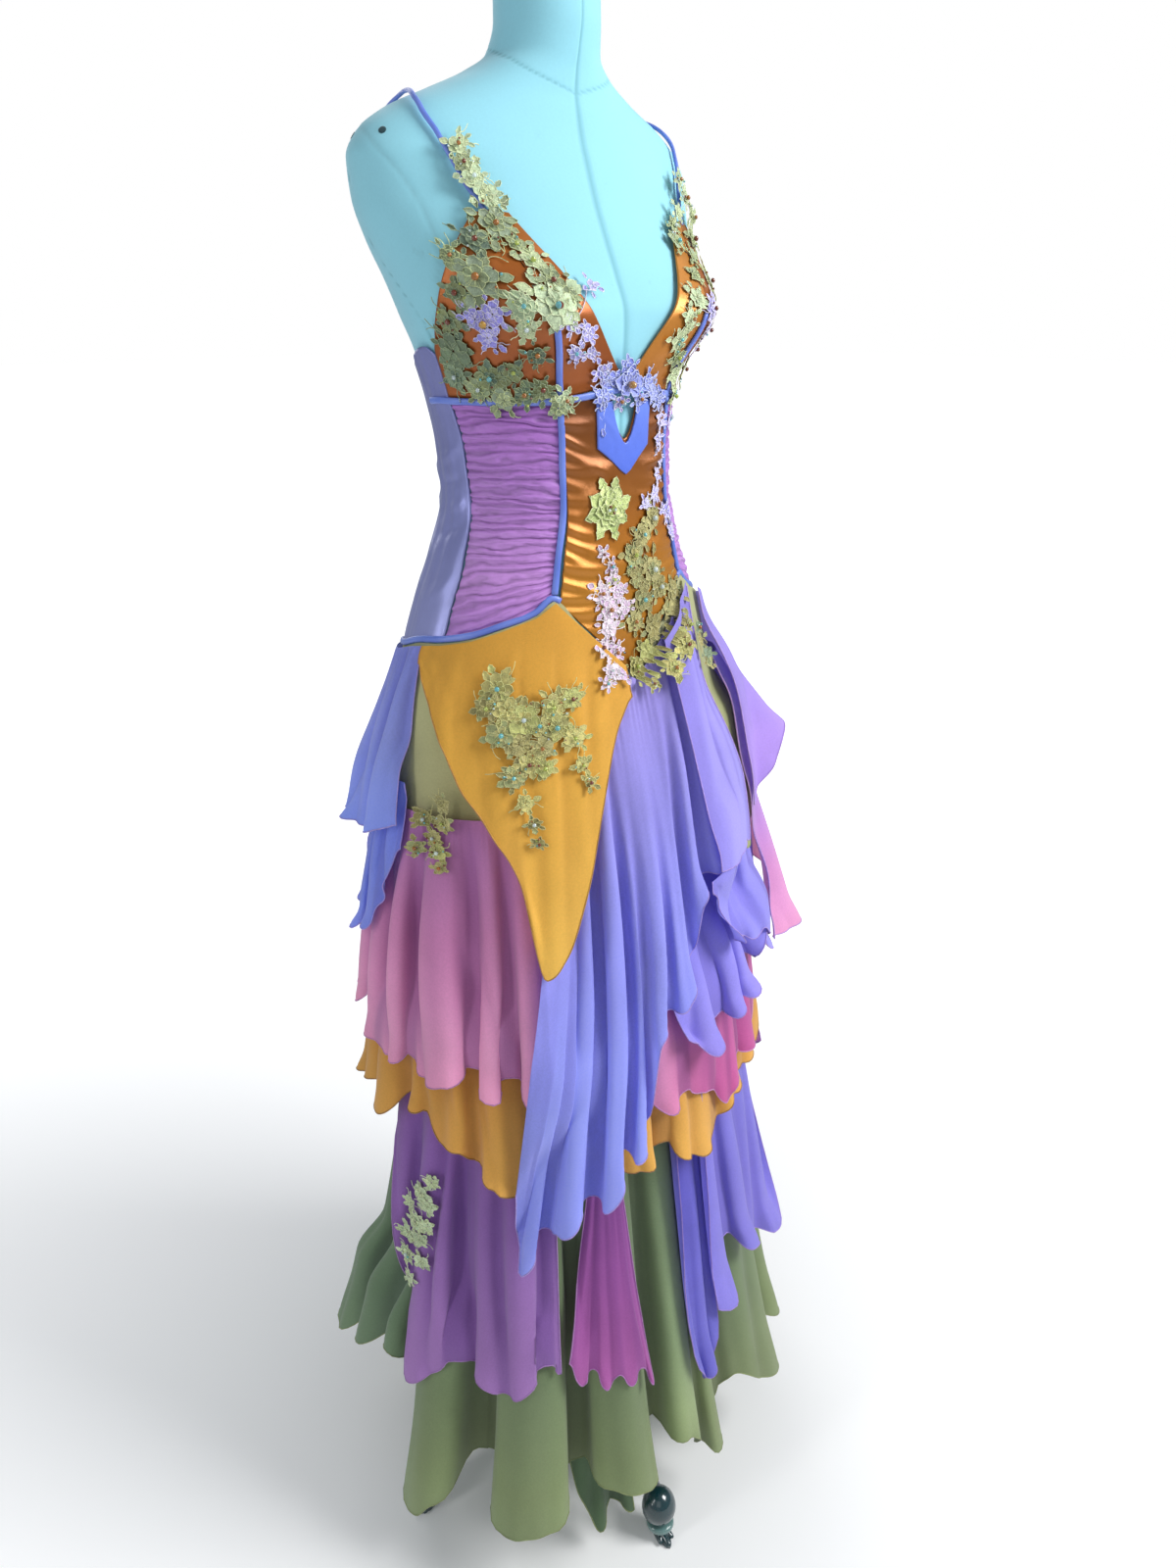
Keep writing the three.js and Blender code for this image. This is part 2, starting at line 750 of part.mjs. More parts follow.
// The side turned away hangs in plain folds: crest hems sit lower than the valleys by dip.
const plainBack = (z, out, dip) =>
  ROUND_FOLDS.map(([t, crest, more]) => [
    t > 180 ? t - 360 : t,
    z - crest * dip,
    out + more,
  ]);
const byAngle = (table) => [...table].sort((a, b) => a[0] - b[0]);
const LAYERS = {
  skirt_yoke: {
    colour: "yoke",
    top: HIP.map(([t, z]) => [t, z - 1.5]),
    hem: [
      [-180, 926, 9],
      [180, 926, 9],
    ],
    lift: ON_FORM + 0.3,
    grow: 1,
    rows: 2,
  },
  underskirt_inner: {
    colour: "sage",
    from: -50,
    to: -20,
    top: [[0, 420]],
    hem: [
      [-50, 160, 22],
      [-45, 148, 24],
      [-40, 150, 22],
      [-35, 90, 30],
      [-30, 34, 30],
      [-25, 52, 24],
      [-20, 42, 30],
    ],
    lift: 8,
    grow: 1,
    rows: 3,
  },
  underskirt: {
    colour: "sage",
    top: [[0, 925.4]],
    hem: byAngle([
      [-125, 215, 62],
      [-118, 190, 90],
      [-110, 225, 52],
      [-104, 228, 72],
      [-96, 255, 50],
      [-90, 272, 66],
      [-85, 215, 44],
      [-80, 86, 74],
      [-75, 92, 84],
      [-70, 118, 78],
      [-65, 134, 42],
      [-60, 130, 40],
      [-55, 108, 74],
      [-48, 114, 88],
      [-42, 118, 80],
      [-36, 142, 44],
      [-30, 146, 66],
      [-24, 144, 76],
      [-18, 128, 66],
      [-14, 166, 44],
      [-8, 166, 66],
      [-3, 150, 62],
      [2, 96, 46],
      [6, 84, 58],
      [11, 120, 44],
      [16, 160, 54],
      [24, 128, 74],
      [33, 104, 78],
      [41, 140, 50],
      [49, 118, 76],
      ...plainBack(150, 62, 30),
    ]),
    lift: 8,
    grow: 1.15,
    rows: 4,
  },
  skirt_violet_tier: {
    colour: "violet",
    from: -310,
    to: -40,
    top: [[0, 700]],
    hem: byAngle([
      [-141, 560, 34],
      [-135, 600, 26],
      [-125, 604, 24],
      [-110, 604, 24],
      [-101, 596, 26],
      [-95, 520, 36],
      [-90, 400, 48],
      [-87, 345, 46],
      [-84, 330, 50],
      [-80, 264, 62],
      [-75, 276, 66],
      [-70, 294, 46],
      [-65, 300, 44],
      [-60, 292, 56],
      [-52, 286, 70],
      [-47, 302, 60],
      [-44, 316, 48],
      [-40, 310, 58],
      [-30, 310, 50],
      [0, 310, 50],
      [40, 310, 50],
      ...plainBack(335, 60, 25).filter(([t]) => t !== -136),
    ]),
    lift: 22,
    grow: 1,
    rows: 3,
  },
  skirt_plum_gather: {
    colour: "plum",
    from: -40,
    to: -15,
    pinch: [-23, 0.4],
    top: [[0, 600]],
    hem: [
      [-40, 320, 44],
      [-36, 286, 62],
      [-33, 300, 50],
      [-30, 284, 64],
      [-27, 296, 52],
      [-24, 280, 66],
      [-21, 292, 54],
      [-18, 268, 66],
      [-15, 280, 54],
    ],
    lift: 30,
    grow: 1,
    rows: 4,
  },
  skirt_blue_tail: {
    colour: "blue",
    from: -5,
    to: 10,
    top: [[0, 730]],
    hem: [
      [-5, 300, 50],
      [0, 222, 58],
      [5, 232, 58],
      [10, 300, 50],
    ],
    lift: 22,
    grow: 1,
    rows: 4,
  },
  skirt_blue_panel: {
    colour: "blue",
    from: 5,
    to: 50,
    top: [[0, 740]],
    hem: [
      [5, 318, 54],
      [11, 302, 64],
      [15, 362, 52],
      [22, 350, 66],
      [30, 330, 58],
      [40, 305, 74],
      [50, 330, 60],
    ],
    lift: 26,
    grow: 1,
    rows: 4,
  },
  skirt_mauve_tail: {
    colour: "pink",
    from: 50,
    to: 77.75,
    top: [[0, 780]],
    hem: [
      [50, 560, 50],
      [59.25, 522, 62],
      [68.5, 530, 56],
      [77.75, 560, 48],
    ],
    lift: 30,
    grow: 1,
    rows: 3,
  },
  skirt_marigold_tier: {
    colour: "marigold",
    top: [[0, 790]],
    hem: byAngle([
      [-125, 575, 48],
      [-116, 575, 56],
      [-105, 590, 46],
      [-95, 584, 56],
      [-85, 612, 44],
      [-78, 614, 52],
      [-72, 582, 50],
      [-66, 588, 62],
      [-62, 560, 50],
      [-55, 552, 66],
      [-50, 540, 54],
      [-45, 560, 50],
      [-35, 570, 58],
      [-28, 552, 54],
      [-22, 540, 66],
      [-14, 545, 56],
      [-8, 556, 46],
      [-2, 538, 62],
      [4, 532, 58],
      [12, 540, 46],
      [20, 560, 58],
      [32, 555, 46],
      [44, 565, 58],
      ...plainBack(585, 52, 20),
    ]),
    lift: 26,
    grow: 0.9,
    rows: 2,
  },
  skirt_pink_tier: {
    colour: "pink",
    top: [[0, 924.8]],
    hem: byAngle([
      [-125, 690, 42],
      [-118, 672, 56],
      [-110, 690, 38],
      [-103, 664, 54],
      [-95, 662, 40],
      [-88, 664, 56],
      [-82, 668, 40],
      [-76, 660, 58],
      [-67, 672, 60],
      [-60, 676, 38],
      [-54, 662, 58],
      [-50, 672, 40],
      [-44, 655, 60],
      [-36, 660, 46],
      [-28, 650, 56],
      [-18, 640, 46],
      [-8, 604, 56],
      [-3, 612, 44],
      [3, 604, 58],
      [9, 590, 46],
      [15, 566, 58],
      [24, 600, 46],
      [34, 600, 58],
      [44, 620, 46],
      ...plainBack(680, 50, 18),
    ]),
    lift: 15,
    grow: 0.75,
    rows: 3,
    clear: 5,
  },
  flounce_hip_L_3: {
    colour: "blue",
    from: -5,
    to: 35,
    top: [[0, 850]],
    hem: [
      [-5, 700, 58],
      [3, 668, 74],
      [10, 676, 62],
      [18, 700, 76],
      [27, 722, 62],
      [35, 730, 76],
    ],
    lift: 34,
    grow: 1,
    rows: 3,
    clear: 2,
  },
  cascade_front: {
    colour: "blue",
    from: -50,
    to: 20,
    top: [
      [-50, 548],
      [-45, 700],
      [-40, 812],
      [-35, 850],
      [-27, 905],
      [-20, 980],
      [-14, 1040],
      [-7, 1060],
      [0, 1046],
      [10, 1072],
      [20, 1098],
    ],
    hem: [
      [-50, 462, 74],
      [-45, 487, 66],
      [-40, 500, 58],
      [-35, 522, 66],
      [-30, 540, 76],
      [-26, 590, 56],
      [-20, 584, 76],
      [-15, 630, 60],
      [-10, 716, 58],
      [-5, 732, 72],
      [0, 744, 56],
      [5, 770, 60],
      [10, 842, 54],
      [15, 842, 66],
      [20, 884, 56],
    ],
    lift: 8,
    grow: 0.9,
    rows: 6,
    clear: 4,
  },
  flounce_hip_L_2: {
    colour: "blue",
    from: 10,
    to: 77.75,
    top: [[0, 960]],
    hem: [
      [10, 800, 60],
      [15, 770, 74],
      [20, 748, 62],
      [28, 708, 90],
      [40, 690, 78],
      [50, 676, 84],
      [59.25, 690, 70],
      [68.5, 690, 84],
      [77.75, 730, 66],
    ],
    lift: 34,
    grow: 0.9,
    rows: 3,
    clear: 4,
  },
  skirt_yellow_tail: {
    colour: "yellow",
    from: 77.75,
    to: 114.75,
    top: [[0, 960]],
    hem: [
      [77.75, 760, 66],
      [87, 712, 84],
      [96.25, 740, 68],
      [105.5, 800, 74],
      [114.75, 860, 56],
    ],
    lift: 24,
    grow: 1,
    rows: 3,
    clear: 1,
  },
  flounce_back_L_2: {
    colour: "pink",
    from: 45,
    to: 105.5,
    top: [[0, 1040]],
    hem: [
      [45, 728, 86],
      [50, 704, 106],
      [59.25, 722, 100],
      [68.5, 735, 104],
      [77.75, 722, 116],
      [87, 750, 92],
      [96.25, 800, 90],
      [105.5, 850, 66],
    ],
    lift: 16,
    grow: 1,
    rows: 3,
    clear: 3,
  },
  flounce_back_R_2: {
    colour: "blue",
    from: -152.75,
    to: -85,
    top: [[0, 960]],
    hem: [
      [-152.75, 860, 50],
      [-143.5, 830, 62],
      [-134.25, 790, 52],
      [-125, 752, 50],
      [-118, 790, 46],
      [-110, 772, 54],
      [-102, 826, 54],
      [-94, 858, 58],
      [-85, 880, 42],
    ],
    lift: 20,
    grow: 1,
    rows: 3,
  },
  flounce_hip_L_1: {
    colour: "blue",
    from: 20,
    to: 32,
    top: HIP.map(([t, z]) => [t, z - 3]),
    hem: [
      [20, 884, 54],
      [26, 890, 62],
      [32, 872, 44],
    ],
    lift: 9,
    grow: 1,
    rows: 4,
  },
  flounce_back_L_1: {
    colour: "periwinkle",
    from: 50,
    to: 96.25,
    top: HIP.map(([t, z]) => [t, z - 3]),
    hem: [
      [50, 972, 64],
      [56, 956, 86],
      [62, 955, 78],
      [72, 976, 66],
      [84, 940, 86],
      [96.25, 1000, 60],
    ],
    lift: 14,
    grow: 1,
    rows: 3,
  },
  flounce_back_R_1: {
    colour: "blue",
    from: -152.75,
    to: -85,
    top: HIP.map(([t, z]) => [t, z - 3]),
    hem: [
      [-152.75, 960, 40],
      [-143.5, 930, 56],
      [-134.25, 940, 46],
      [-125, 892, 50],
      [-118, 905, 44],
      [-110, 896, 56],
      [-100, 925, 52],
      [-92, 925, 46],
      [-85, 930, 30],
    ],
    lift: 9,
    grow: 1.1,
    rows: 4,
    clear: 2,
  },
  skirt_yellow_point: {
    colour: "yellow",
    from: -85,
    to: -5,
    top: HIP.map(([t, z]) => [t, z - 2.5]),
    hem: [
      [-85, 1074, 12],
      [-80, 1058, 16],
      [-75, 1040, 20],
      [-67, 1006, 28],
      [-60, 970, 34],
      [-50, 922, 44],
      [-45, 886, 50],
      [-40, 792, 64],
      [-35, 806, 62],
      [-30, 842, 54],
      [-25, 888, 48],
      [-20, 940, 38],
      [-15, 986, 28],
      [-10, 1016, 20],
      [-5, 1034, 16],
    ],
    lift: 8,
    grow: 1,
    rows: 4,
  },
};
const REACH_BELOW = 70; // a layer keeps the next one off this far past its hem
const REACH_ABOVE = 40; // and this far past its top edge
const order = Object.keys(LAYERS);

// Cyclic eased value of a table: the last row leads back to the first one turn on.
function ring(rows, t, c) {
  if (rows.length === 1) return rows[0][c];
  const w = wrap(t),
    all = [
      [rows[rows.length - 1][0] - 360, ...rows[rows.length - 1].slice(1)],
      ...rows,
      [rows[0][0] + 360, ...rows[0].slice(1)],
    ];
  return along(all, w, c, false);
}
const topOf = (l, t) =>
  l.top === LAYERS.skirt_yoke.top || l.top.length === HIP.length
    ? along(l.top, wrap(t), 1, true)
    : ring(l.top, t, 1);
function spans(l, t) {
  return (
    l.from === undefined ||
    [-360, 0, 360].some((turn) => t + turn >= l.from && t + turn <= l.to)
  );
}
// Reach of the inner face of layer n at (t, z).
function reach(n, t, z) {
  const l = LAYERS[order[n]],
    top = topOf(l, t),
    hem = ring(l.hem, t, 1),
    out = ring(l.hem, t, 2),
    s = Math.min(Math.max((top - z) / (top - hem), 0), 1);
  let h = l.lift + (out - l.lift) * s ** l.grow;
  for (let m = 0; m < n; m++) {
    const k = LAYERS[order[m]];
    if (!spans(k, t)) continue;
    if (z > topOf(k, t) + REACH_ABOVE || z < ring(k.hem, t, 1) - REACH_BELOW)
      continue;
    h = Math.max(h, reach(m, t, z) + CHIFFON + NEST + (l.clear ?? 0));
  }
  return h;
}
order.forEach((name, n) => {
  const l = LAYERS[name],
    columns =
      l.from === undefined
        ? COLUMNS
        : allColumns.filter((t) => t >= l.from && t <= l.to);
  const grid = columns.map((t) =>
    steps(l.rows).map((s) => [
      l.pinch ? mix(l.pinch[0] + (t - l.pinch[0]) * l.pinch[1], t, s) : t,
      mix(topOf(l, t), ring(l.hem, t, 1), s),
    ]),
  );
  const side = (more) => (t, z) => at(SKIRT, t, z, reach(n, t, z) + more);
  wall(name, grid, side(0), side(CHIFFON), l.colour, l.from === undefined);
});

// ---------------------------------------------------------------- lace
// Lace pieces are thin walls laid over the cloth, each an outline of (t, z) round a middle.
const CORD_TOP = 9.6; // clears the cords of the bodice
// Outermost cloth near (t, z), looked up over a small patch so that a flat facet clears it.
function cover(t, z) {
  let h = z > hip(t) - 40 ? CORD_TOP : 0;
  for (const dt of [-5, -2.5, 0, 2.5, 5])
    for (const dz of [-24, -12, 0, 12, 24])
      for (let n = 0; n < order.length; n++) {
        const l = LAYERS[order[n]],
          u = t + dt,
          w = z + dz;
        if (spans(l, u) && w <= topOf(l, u) && w >= ring(l.hem, u, 1))
          h = Math.max(h, reach(n, u, w) + CHIFFON + 1.5);
      }
  return h;
}
function lacePiece(name, colour, middle, outline, rings = 2, over = 0) {
  const points = [],
    faces = [],
    count = outline.length;
  const place = (t, z, more) => {
    const rows = z > 1133 ? FORM : SKIRT;
    points.push(at(rows, t, z, cover(t, z) + over + more));
  };
  for (const more of [0, LACE]) {
    place(...middle, more);
    for (let k = 1; k <= rings; k++)
      outline.forEach(([t, z]) =>
        place(mix(middle[0], t, k / rings), mix(middle[1], z, k / rings), more),
      );
  }
  const half = 1 + rings * count,
    id = (side, k, i) => side * half + (k ? 1 + (k - 1) * count + (i % count) : 0);
  for (let i = 0; i < count; i++) {
    for (let k = 0; k < rings; k++) {
      const quads = k
        ? [
            [id(1, k, i), id(1, k + 1, i), id(1, k + 1, i + 1)],
            [id(1, k, i), id(1, k + 1, i + 1), id(1, k, i + 1)],
          ]
        : [[id(1, 0, 0), id(1, 1, i), id(1, 1, i + 1)]];
      quads.forEach(([a, b, c]) =>
        faces.push([a, b, c], [a - half, c - half, b - half]),
      );
    }
    const [a, b] = [id(1, rings, i), id(1, rings, i + 1)];
    faces.push([a, a - half, b - half], [a, b - half, b]);
  }
  const right = signedVolume(points, faces) > 0;
  add(name, points, right ? faces : faces.map(([a, b, c]) => [a, c, b]), colour);
}
lacePiece(
  "lace_cup_R",
  "gold",
  [-46, 1378],
  [
    [-46.5, 1505],
    [-40.5, 1494],
    [-35, 1463],
    [-30, 1436],
    [-25, 1414],
    [-19, 1390],
    [-27, 1370],
    [-32, 1335],
    [-29.6, 1294],
    [-43, 1299],
    [-52, 1289],
    [-67, 1312],
    [-83, 1334],
    [-73, 1365],
    [-65, 1388],
    [-58, 1410],
    [-50, 1434],
    [-46, 1458],
    [-48, 1484],
  ],
  3,
  4,
);
lacePiece(
  "lace_cup_L",
  "gold",
  [44, 1376],
  [
    [41.5, 1492],
    [48, 1476],
    [51, 1449],
    [60, 1420],
    [70, 1385],
    [74, 1350],
    [62, 1313],
    [46, 1290],
    [33, 1297],
    [27, 1314],
    [23, 1348],
    [25, 1390],
    [33, 1438],
    [36, 1470],
  ],
  3,
  4,
);
lacePiece(
  "lace_bow",
  "lavender",
  [-3, 1318],
  [
    [-22, 1360],
    [-15, 1374],
    [-8, 1352],
    [0, 1334],
    [13, 1331],
    [24, 1318],
    [22, 1298],
    [10, 1292],
    [1, 1303],
    [-8, 1293],
    [-17, 1297],
    [-22, 1318],
  ],
);
lacePiece(
  "lace_lavender_L",
  "lavender",
  [33, 1222],
  [
    [41, 1284],
    [29, 1276],
    [24, 1240],
    [24, 1200],
    [27, 1160],
    [35, 1164],
    [42, 1190],
    [44, 1222],
    [40, 1255],
  ],
);
lacePiece(
  "lace_flower",
  "gold",
  [-9, 1206],
  [
    [-20, 1233],
    [-10, 1236],
    [-1, 1232],
    [4, 1208],
    [-2, 1180],
    [-9, 1174],
    [-16, 1178],
    [-21, 1204],
  ],
);
lacePiece(
  "lace_bronze",
  "gold",
  [13, 1115],
  [
    [7, 1212],
    [16, 1196],
    [22, 1160],
    [27, 1119],
    [28, 1084],
    [19, 1062],
    [8, 1045],
    [3, 1060],
    [4, 1100],
    [3, 1140],
    [3, 1170],
  ],
);
lacePiece(
  "lace_blush",
  "blush",
  [-8, 1100],
  [
    [-11, 1166],
    [-4, 1138],
    [1, 1098],
    [0, 1062],
    [-8, 1048],
    [-14, 1052],
    [-17, 1086],
    [-16, 1130],
  ],
);
lacePiece(
  "lace_yellow_point",
  "gold",
  [-40, 1020],
  [
    [-52, 1071],
    [-45, 1071],
    [-38, 1056],
    [-27, 1058],
    [-23, 1034],
    [-23, 972],
    [-30, 982],
    [-35, 984],
    [-38, 932],
    [-41, 940],
    [-43, 978],
    [-52, 988],
    [-54, 1033],
  ],
);
lacePiece(
  "lace_yoke",
  "gold",
  [-76, 938],
  [
    [-84, 950],
    [-75, 972],
    [-69, 960],
    [-68, 930],
    [-69, 905],
    [-76, 900],
    [-83, 912],
  ],
);
lacePiece(
  "lace_violet",
  "gold",
  [-88, 430],
  [
    [-95, 470],
    [-86, 500],
    [-80, 494],
    [-79, 430],
    [-80, 382],
    [-88, 360],
    [-97, 378],
    [-98, 430],
  ],
);

// The origin is the middle of the whole footprint, on the floor.
part.updateMatrixWorld(true);
const bounds = new THREE.Box3().setFromObject(figure, true);
figure.position.set(
  -(bounds.min.x + bounds.max.x) / 2,
  -(bounds.min.y + bounds.max.y) / 2,
  -bounds.min.z,
);
export default part;
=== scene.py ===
# Looks of the layered gown on its limbless dress form.
# Surfaces are written as in the frame's source: t is the angle round the body in degrees, 0 at the
# front (-Y) and positive toward +X, z the height in millimetres, h the distance outside the section.
import math

import bpy
import numpy as np
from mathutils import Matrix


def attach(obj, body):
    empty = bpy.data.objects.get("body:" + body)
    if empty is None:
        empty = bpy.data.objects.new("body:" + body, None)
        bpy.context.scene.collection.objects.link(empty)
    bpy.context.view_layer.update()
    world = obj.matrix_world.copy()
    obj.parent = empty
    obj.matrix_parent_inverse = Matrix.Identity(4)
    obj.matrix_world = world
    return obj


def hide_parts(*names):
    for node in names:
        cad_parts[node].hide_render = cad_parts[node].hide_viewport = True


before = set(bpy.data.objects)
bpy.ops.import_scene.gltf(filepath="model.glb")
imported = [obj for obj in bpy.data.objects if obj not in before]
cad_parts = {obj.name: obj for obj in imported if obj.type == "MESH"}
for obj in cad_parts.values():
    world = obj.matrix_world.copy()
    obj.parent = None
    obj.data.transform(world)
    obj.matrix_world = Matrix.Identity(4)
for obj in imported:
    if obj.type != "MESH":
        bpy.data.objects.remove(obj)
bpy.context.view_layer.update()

# ---------------------------------------------------------------- camera
# The photograph's view: about 1.1 m away, a little above the bust, 42 degrees round to the wearer's right.
camera_data = bpy.data.cameras.new("camera")
camera_data.sensor_fit = "VERTICAL"
camera_data.sensor_height = 36
camera_data.lens = 25.9875
camera = bpy.data.objects.new("camera", camera_data)
camera.location = (-0.73438, -0.86105, 1.380)
camera.rotation_euler = (math.radians(67), 0, math.radians(-42))
bpy.context.scene.collection.objects.link(camera)
bpy.context.scene.camera = camera
bpy.context.scene.view_settings.view_transform = "Standard"

# ---------------------------------------------------------------- sections
SATIN, ON_FORM, SLACK = 1.8, 2.6, 4
SHIFT = (0.186, -1.886)  # the figure's place over the middle of its footprint
BUST = dict(at=37, z=1374, out=27, wide=25, up=52, down=38)
FORM = [
    (1650, 45, 36, 54), (1600, 46, 37, 54), (1575, 51, 33, 62), (1560, 72, 30, 76), (1545, 106, 29, 90),
    (1528, 146, 32, 102), (1510, 172, 36, 110), (1490, 183, 43, 116), (1460, 181, 54, 121), (1430, 172, 67, 122),
    (1400, 159, 80, 120), (1373, 149, 90, 117), (1345, 138, 91, 110), (1303, 125, 88, 103), (1260, 117, 88, 98),
    (1215, 115, 91, 96), (1160, 133, 96, 102), (1120, 150, 100, 110), (1070, 166, 102, 117), (1020, 174, 103, 121),
    (960, 174, 103, 119), (880, 166, 98, 112),
]
SKIRT = [
    (1133, 145, 99, 108), (1120, 150, 100, 110), (1070, 166, 102, 117), (1020, 175, 106, 123), (960, 181, 112, 129),
    (900, 183, 119, 133), (800, 184, 130, 139), (700, 184, 139, 145), (600, 185, 147, 151), (500, 187, 155, 158),
    (400, 191, 163, 166), (300, 197, 172, 175), (200, 204, 182, 185), (100, 212, 192, 195), (0, 220, 202, 205),
]


def wrap(t):
    return (np.asarray(t, float) + 180) % 360 - 180


def smooth(x):
    x = np.clip(x, 0, 1)
    return x * x * (3 - 2 * x)


def curve(x, y, q):
    """A smooth line through the points of a table, level at each high and low point."""
    x, y = np.asarray(x, float), np.asarray(y, float)
    q = np.clip(np.asarray(q, float), x[0], x[-1])
    if len(x) == 1:
        return np.full_like(q, y[0])
    h = np.diff(x)
    d = np.diff(y) / h
    m = np.empty_like(y)
    m[0], m[-1] = d[0], d[-1]
    a, b = d[:-1], d[1:]
    total = np.where(a + b == 0, 1, a + b)
    m[1:-1] = np.where(a * b > 0, 2 * a * b / total, 0)
    i = np.clip(np.searchsorted(x, q, side="right") - 1, 0, len(x) - 2)
    s = (q - x[i]) / h[i]
    return (
        (2 * s**3 - 3 * s**2 + 1) * y[i]
        + (s**3 - 2 * s**2 + s) * h[i] * m[i]
        + (-2 * s**3 + 3 * s**2) * y[i + 1]
        + (s**3 - s**2) * h[i] * m[i + 1]
    )


def line(rows, q, c=1):
    return np.interp(q, [r[0] for r in rows], [r[c] for r in rows])


HEIGHTS = np.arange(0, 1701.0)


def sections(rows):
    rows = sorted(rows)
    return [curve([r[0] for r in rows], [r[c] for r in rows], HEIGHTS) for c in (1, 2, 3)]


FORM_AT, SKIRT_AT = sections(FORM), sections(SKIRT)


def bust(t, z):
    a = np.abs(wrap(t)) - BUST["at"]
    d = z - BUST["z"]
    tall = np.where(d > 0, BUST["up"], BUST["down"])
    return BUST["out"] * np.exp(-((a / BUST["wide"]) ** 2) - (d / tall) ** 2)


def place(t, z, h, full=1.0, form=False):
    """Points in metres at (t, z, h), outside the form above the hips and the skirt's sections below."""
    t, z, h = np.broadcast_arrays(np.asarray(t, float), np.asarray(z, float), np.asarray(h, float))
    w = np.ones_like(z) if form else smooth((z - 1112) / 30)
    a, f, b = [np.interp(z, HEIGHTS, SKIRT_AT[c]) * (1 - w) + np.interp(z, HEIGHTS, FORM_AT[c]) * w for c in range(3)]
    r = np.radians(t)
    mid, deep = (b - f) / 2, (b + f) / 2
    nx, ny = np.sin(r) / a, -np.cos(r) / deep
    n = np.hypot(nx, ny)
    out = h + bust(t, z) * full * w
    return np.stack([a * np.sin(r) + nx / n * out + SHIFT[0], mid - deep * np.cos(r) + ny / n * out + SHIFT[1], z], -1) * 0.001


def normal(t, z, h=5.0):
    a = place(np.asarray(t) + 0.5, z, h) - place(np.asarray(t) - 0.5, z, h)
    b = place(t, np.asarray(z) + 0.5, h) - place(t, np.asarray(z) - 0.5, h)
    n = np.cross(a, b)
    return n / np.linalg.norm(n, axis=-1, keepdims=True)


def noise(u, v, seed, octaves=2):
    """Smooth noise from -1 to 1 over the plane."""
    total, size = 0, 0
    for k in range(octaves):
        table = np.random.default_rng(seed + 101 * k).uniform(-1, 1, (64, 64))
        a, b = np.asarray(u) * 2**k + 7.3, np.asarray(v) * 2**k + 3.1
        i, j = np.floor(a).astype(int), np.floor(b).astype(int)
        p, q = smooth(a - i), smooth(b - j)
        g = lambda x, y: table[x % 64, y % 64]
        total = total + 0.5**k * (
            (g(i, j) * (1 - p) + g(i + 1, j) * p) * (1 - q) + (g(i, j + 1) * (1 - p) + g(i + 1, j + 1) * p) * q
        )
        size += 0.5**k
    return total / size


# ---------------------------------------------------------------- colours
def rgb(text):
    v = [int(text[i : i + 2], 16) / 255 for i in (1, 3, 5)]
    return np.array([c / 12.92 if c <= 0.04045 else ((c + 0.055) / 1.055) ** 2.4 for c in v])


def blend(stops, q):
    """Colour along q from (value, "#rrggbb") stops."""
    stops = sorted(stops)
    x = [s[0] for s in stops]
    c = np.array([rgb(s[1]) for s in stops])
    return np.stack([np.interp(q, x, c[:, k]) for k in range(3)], -1)


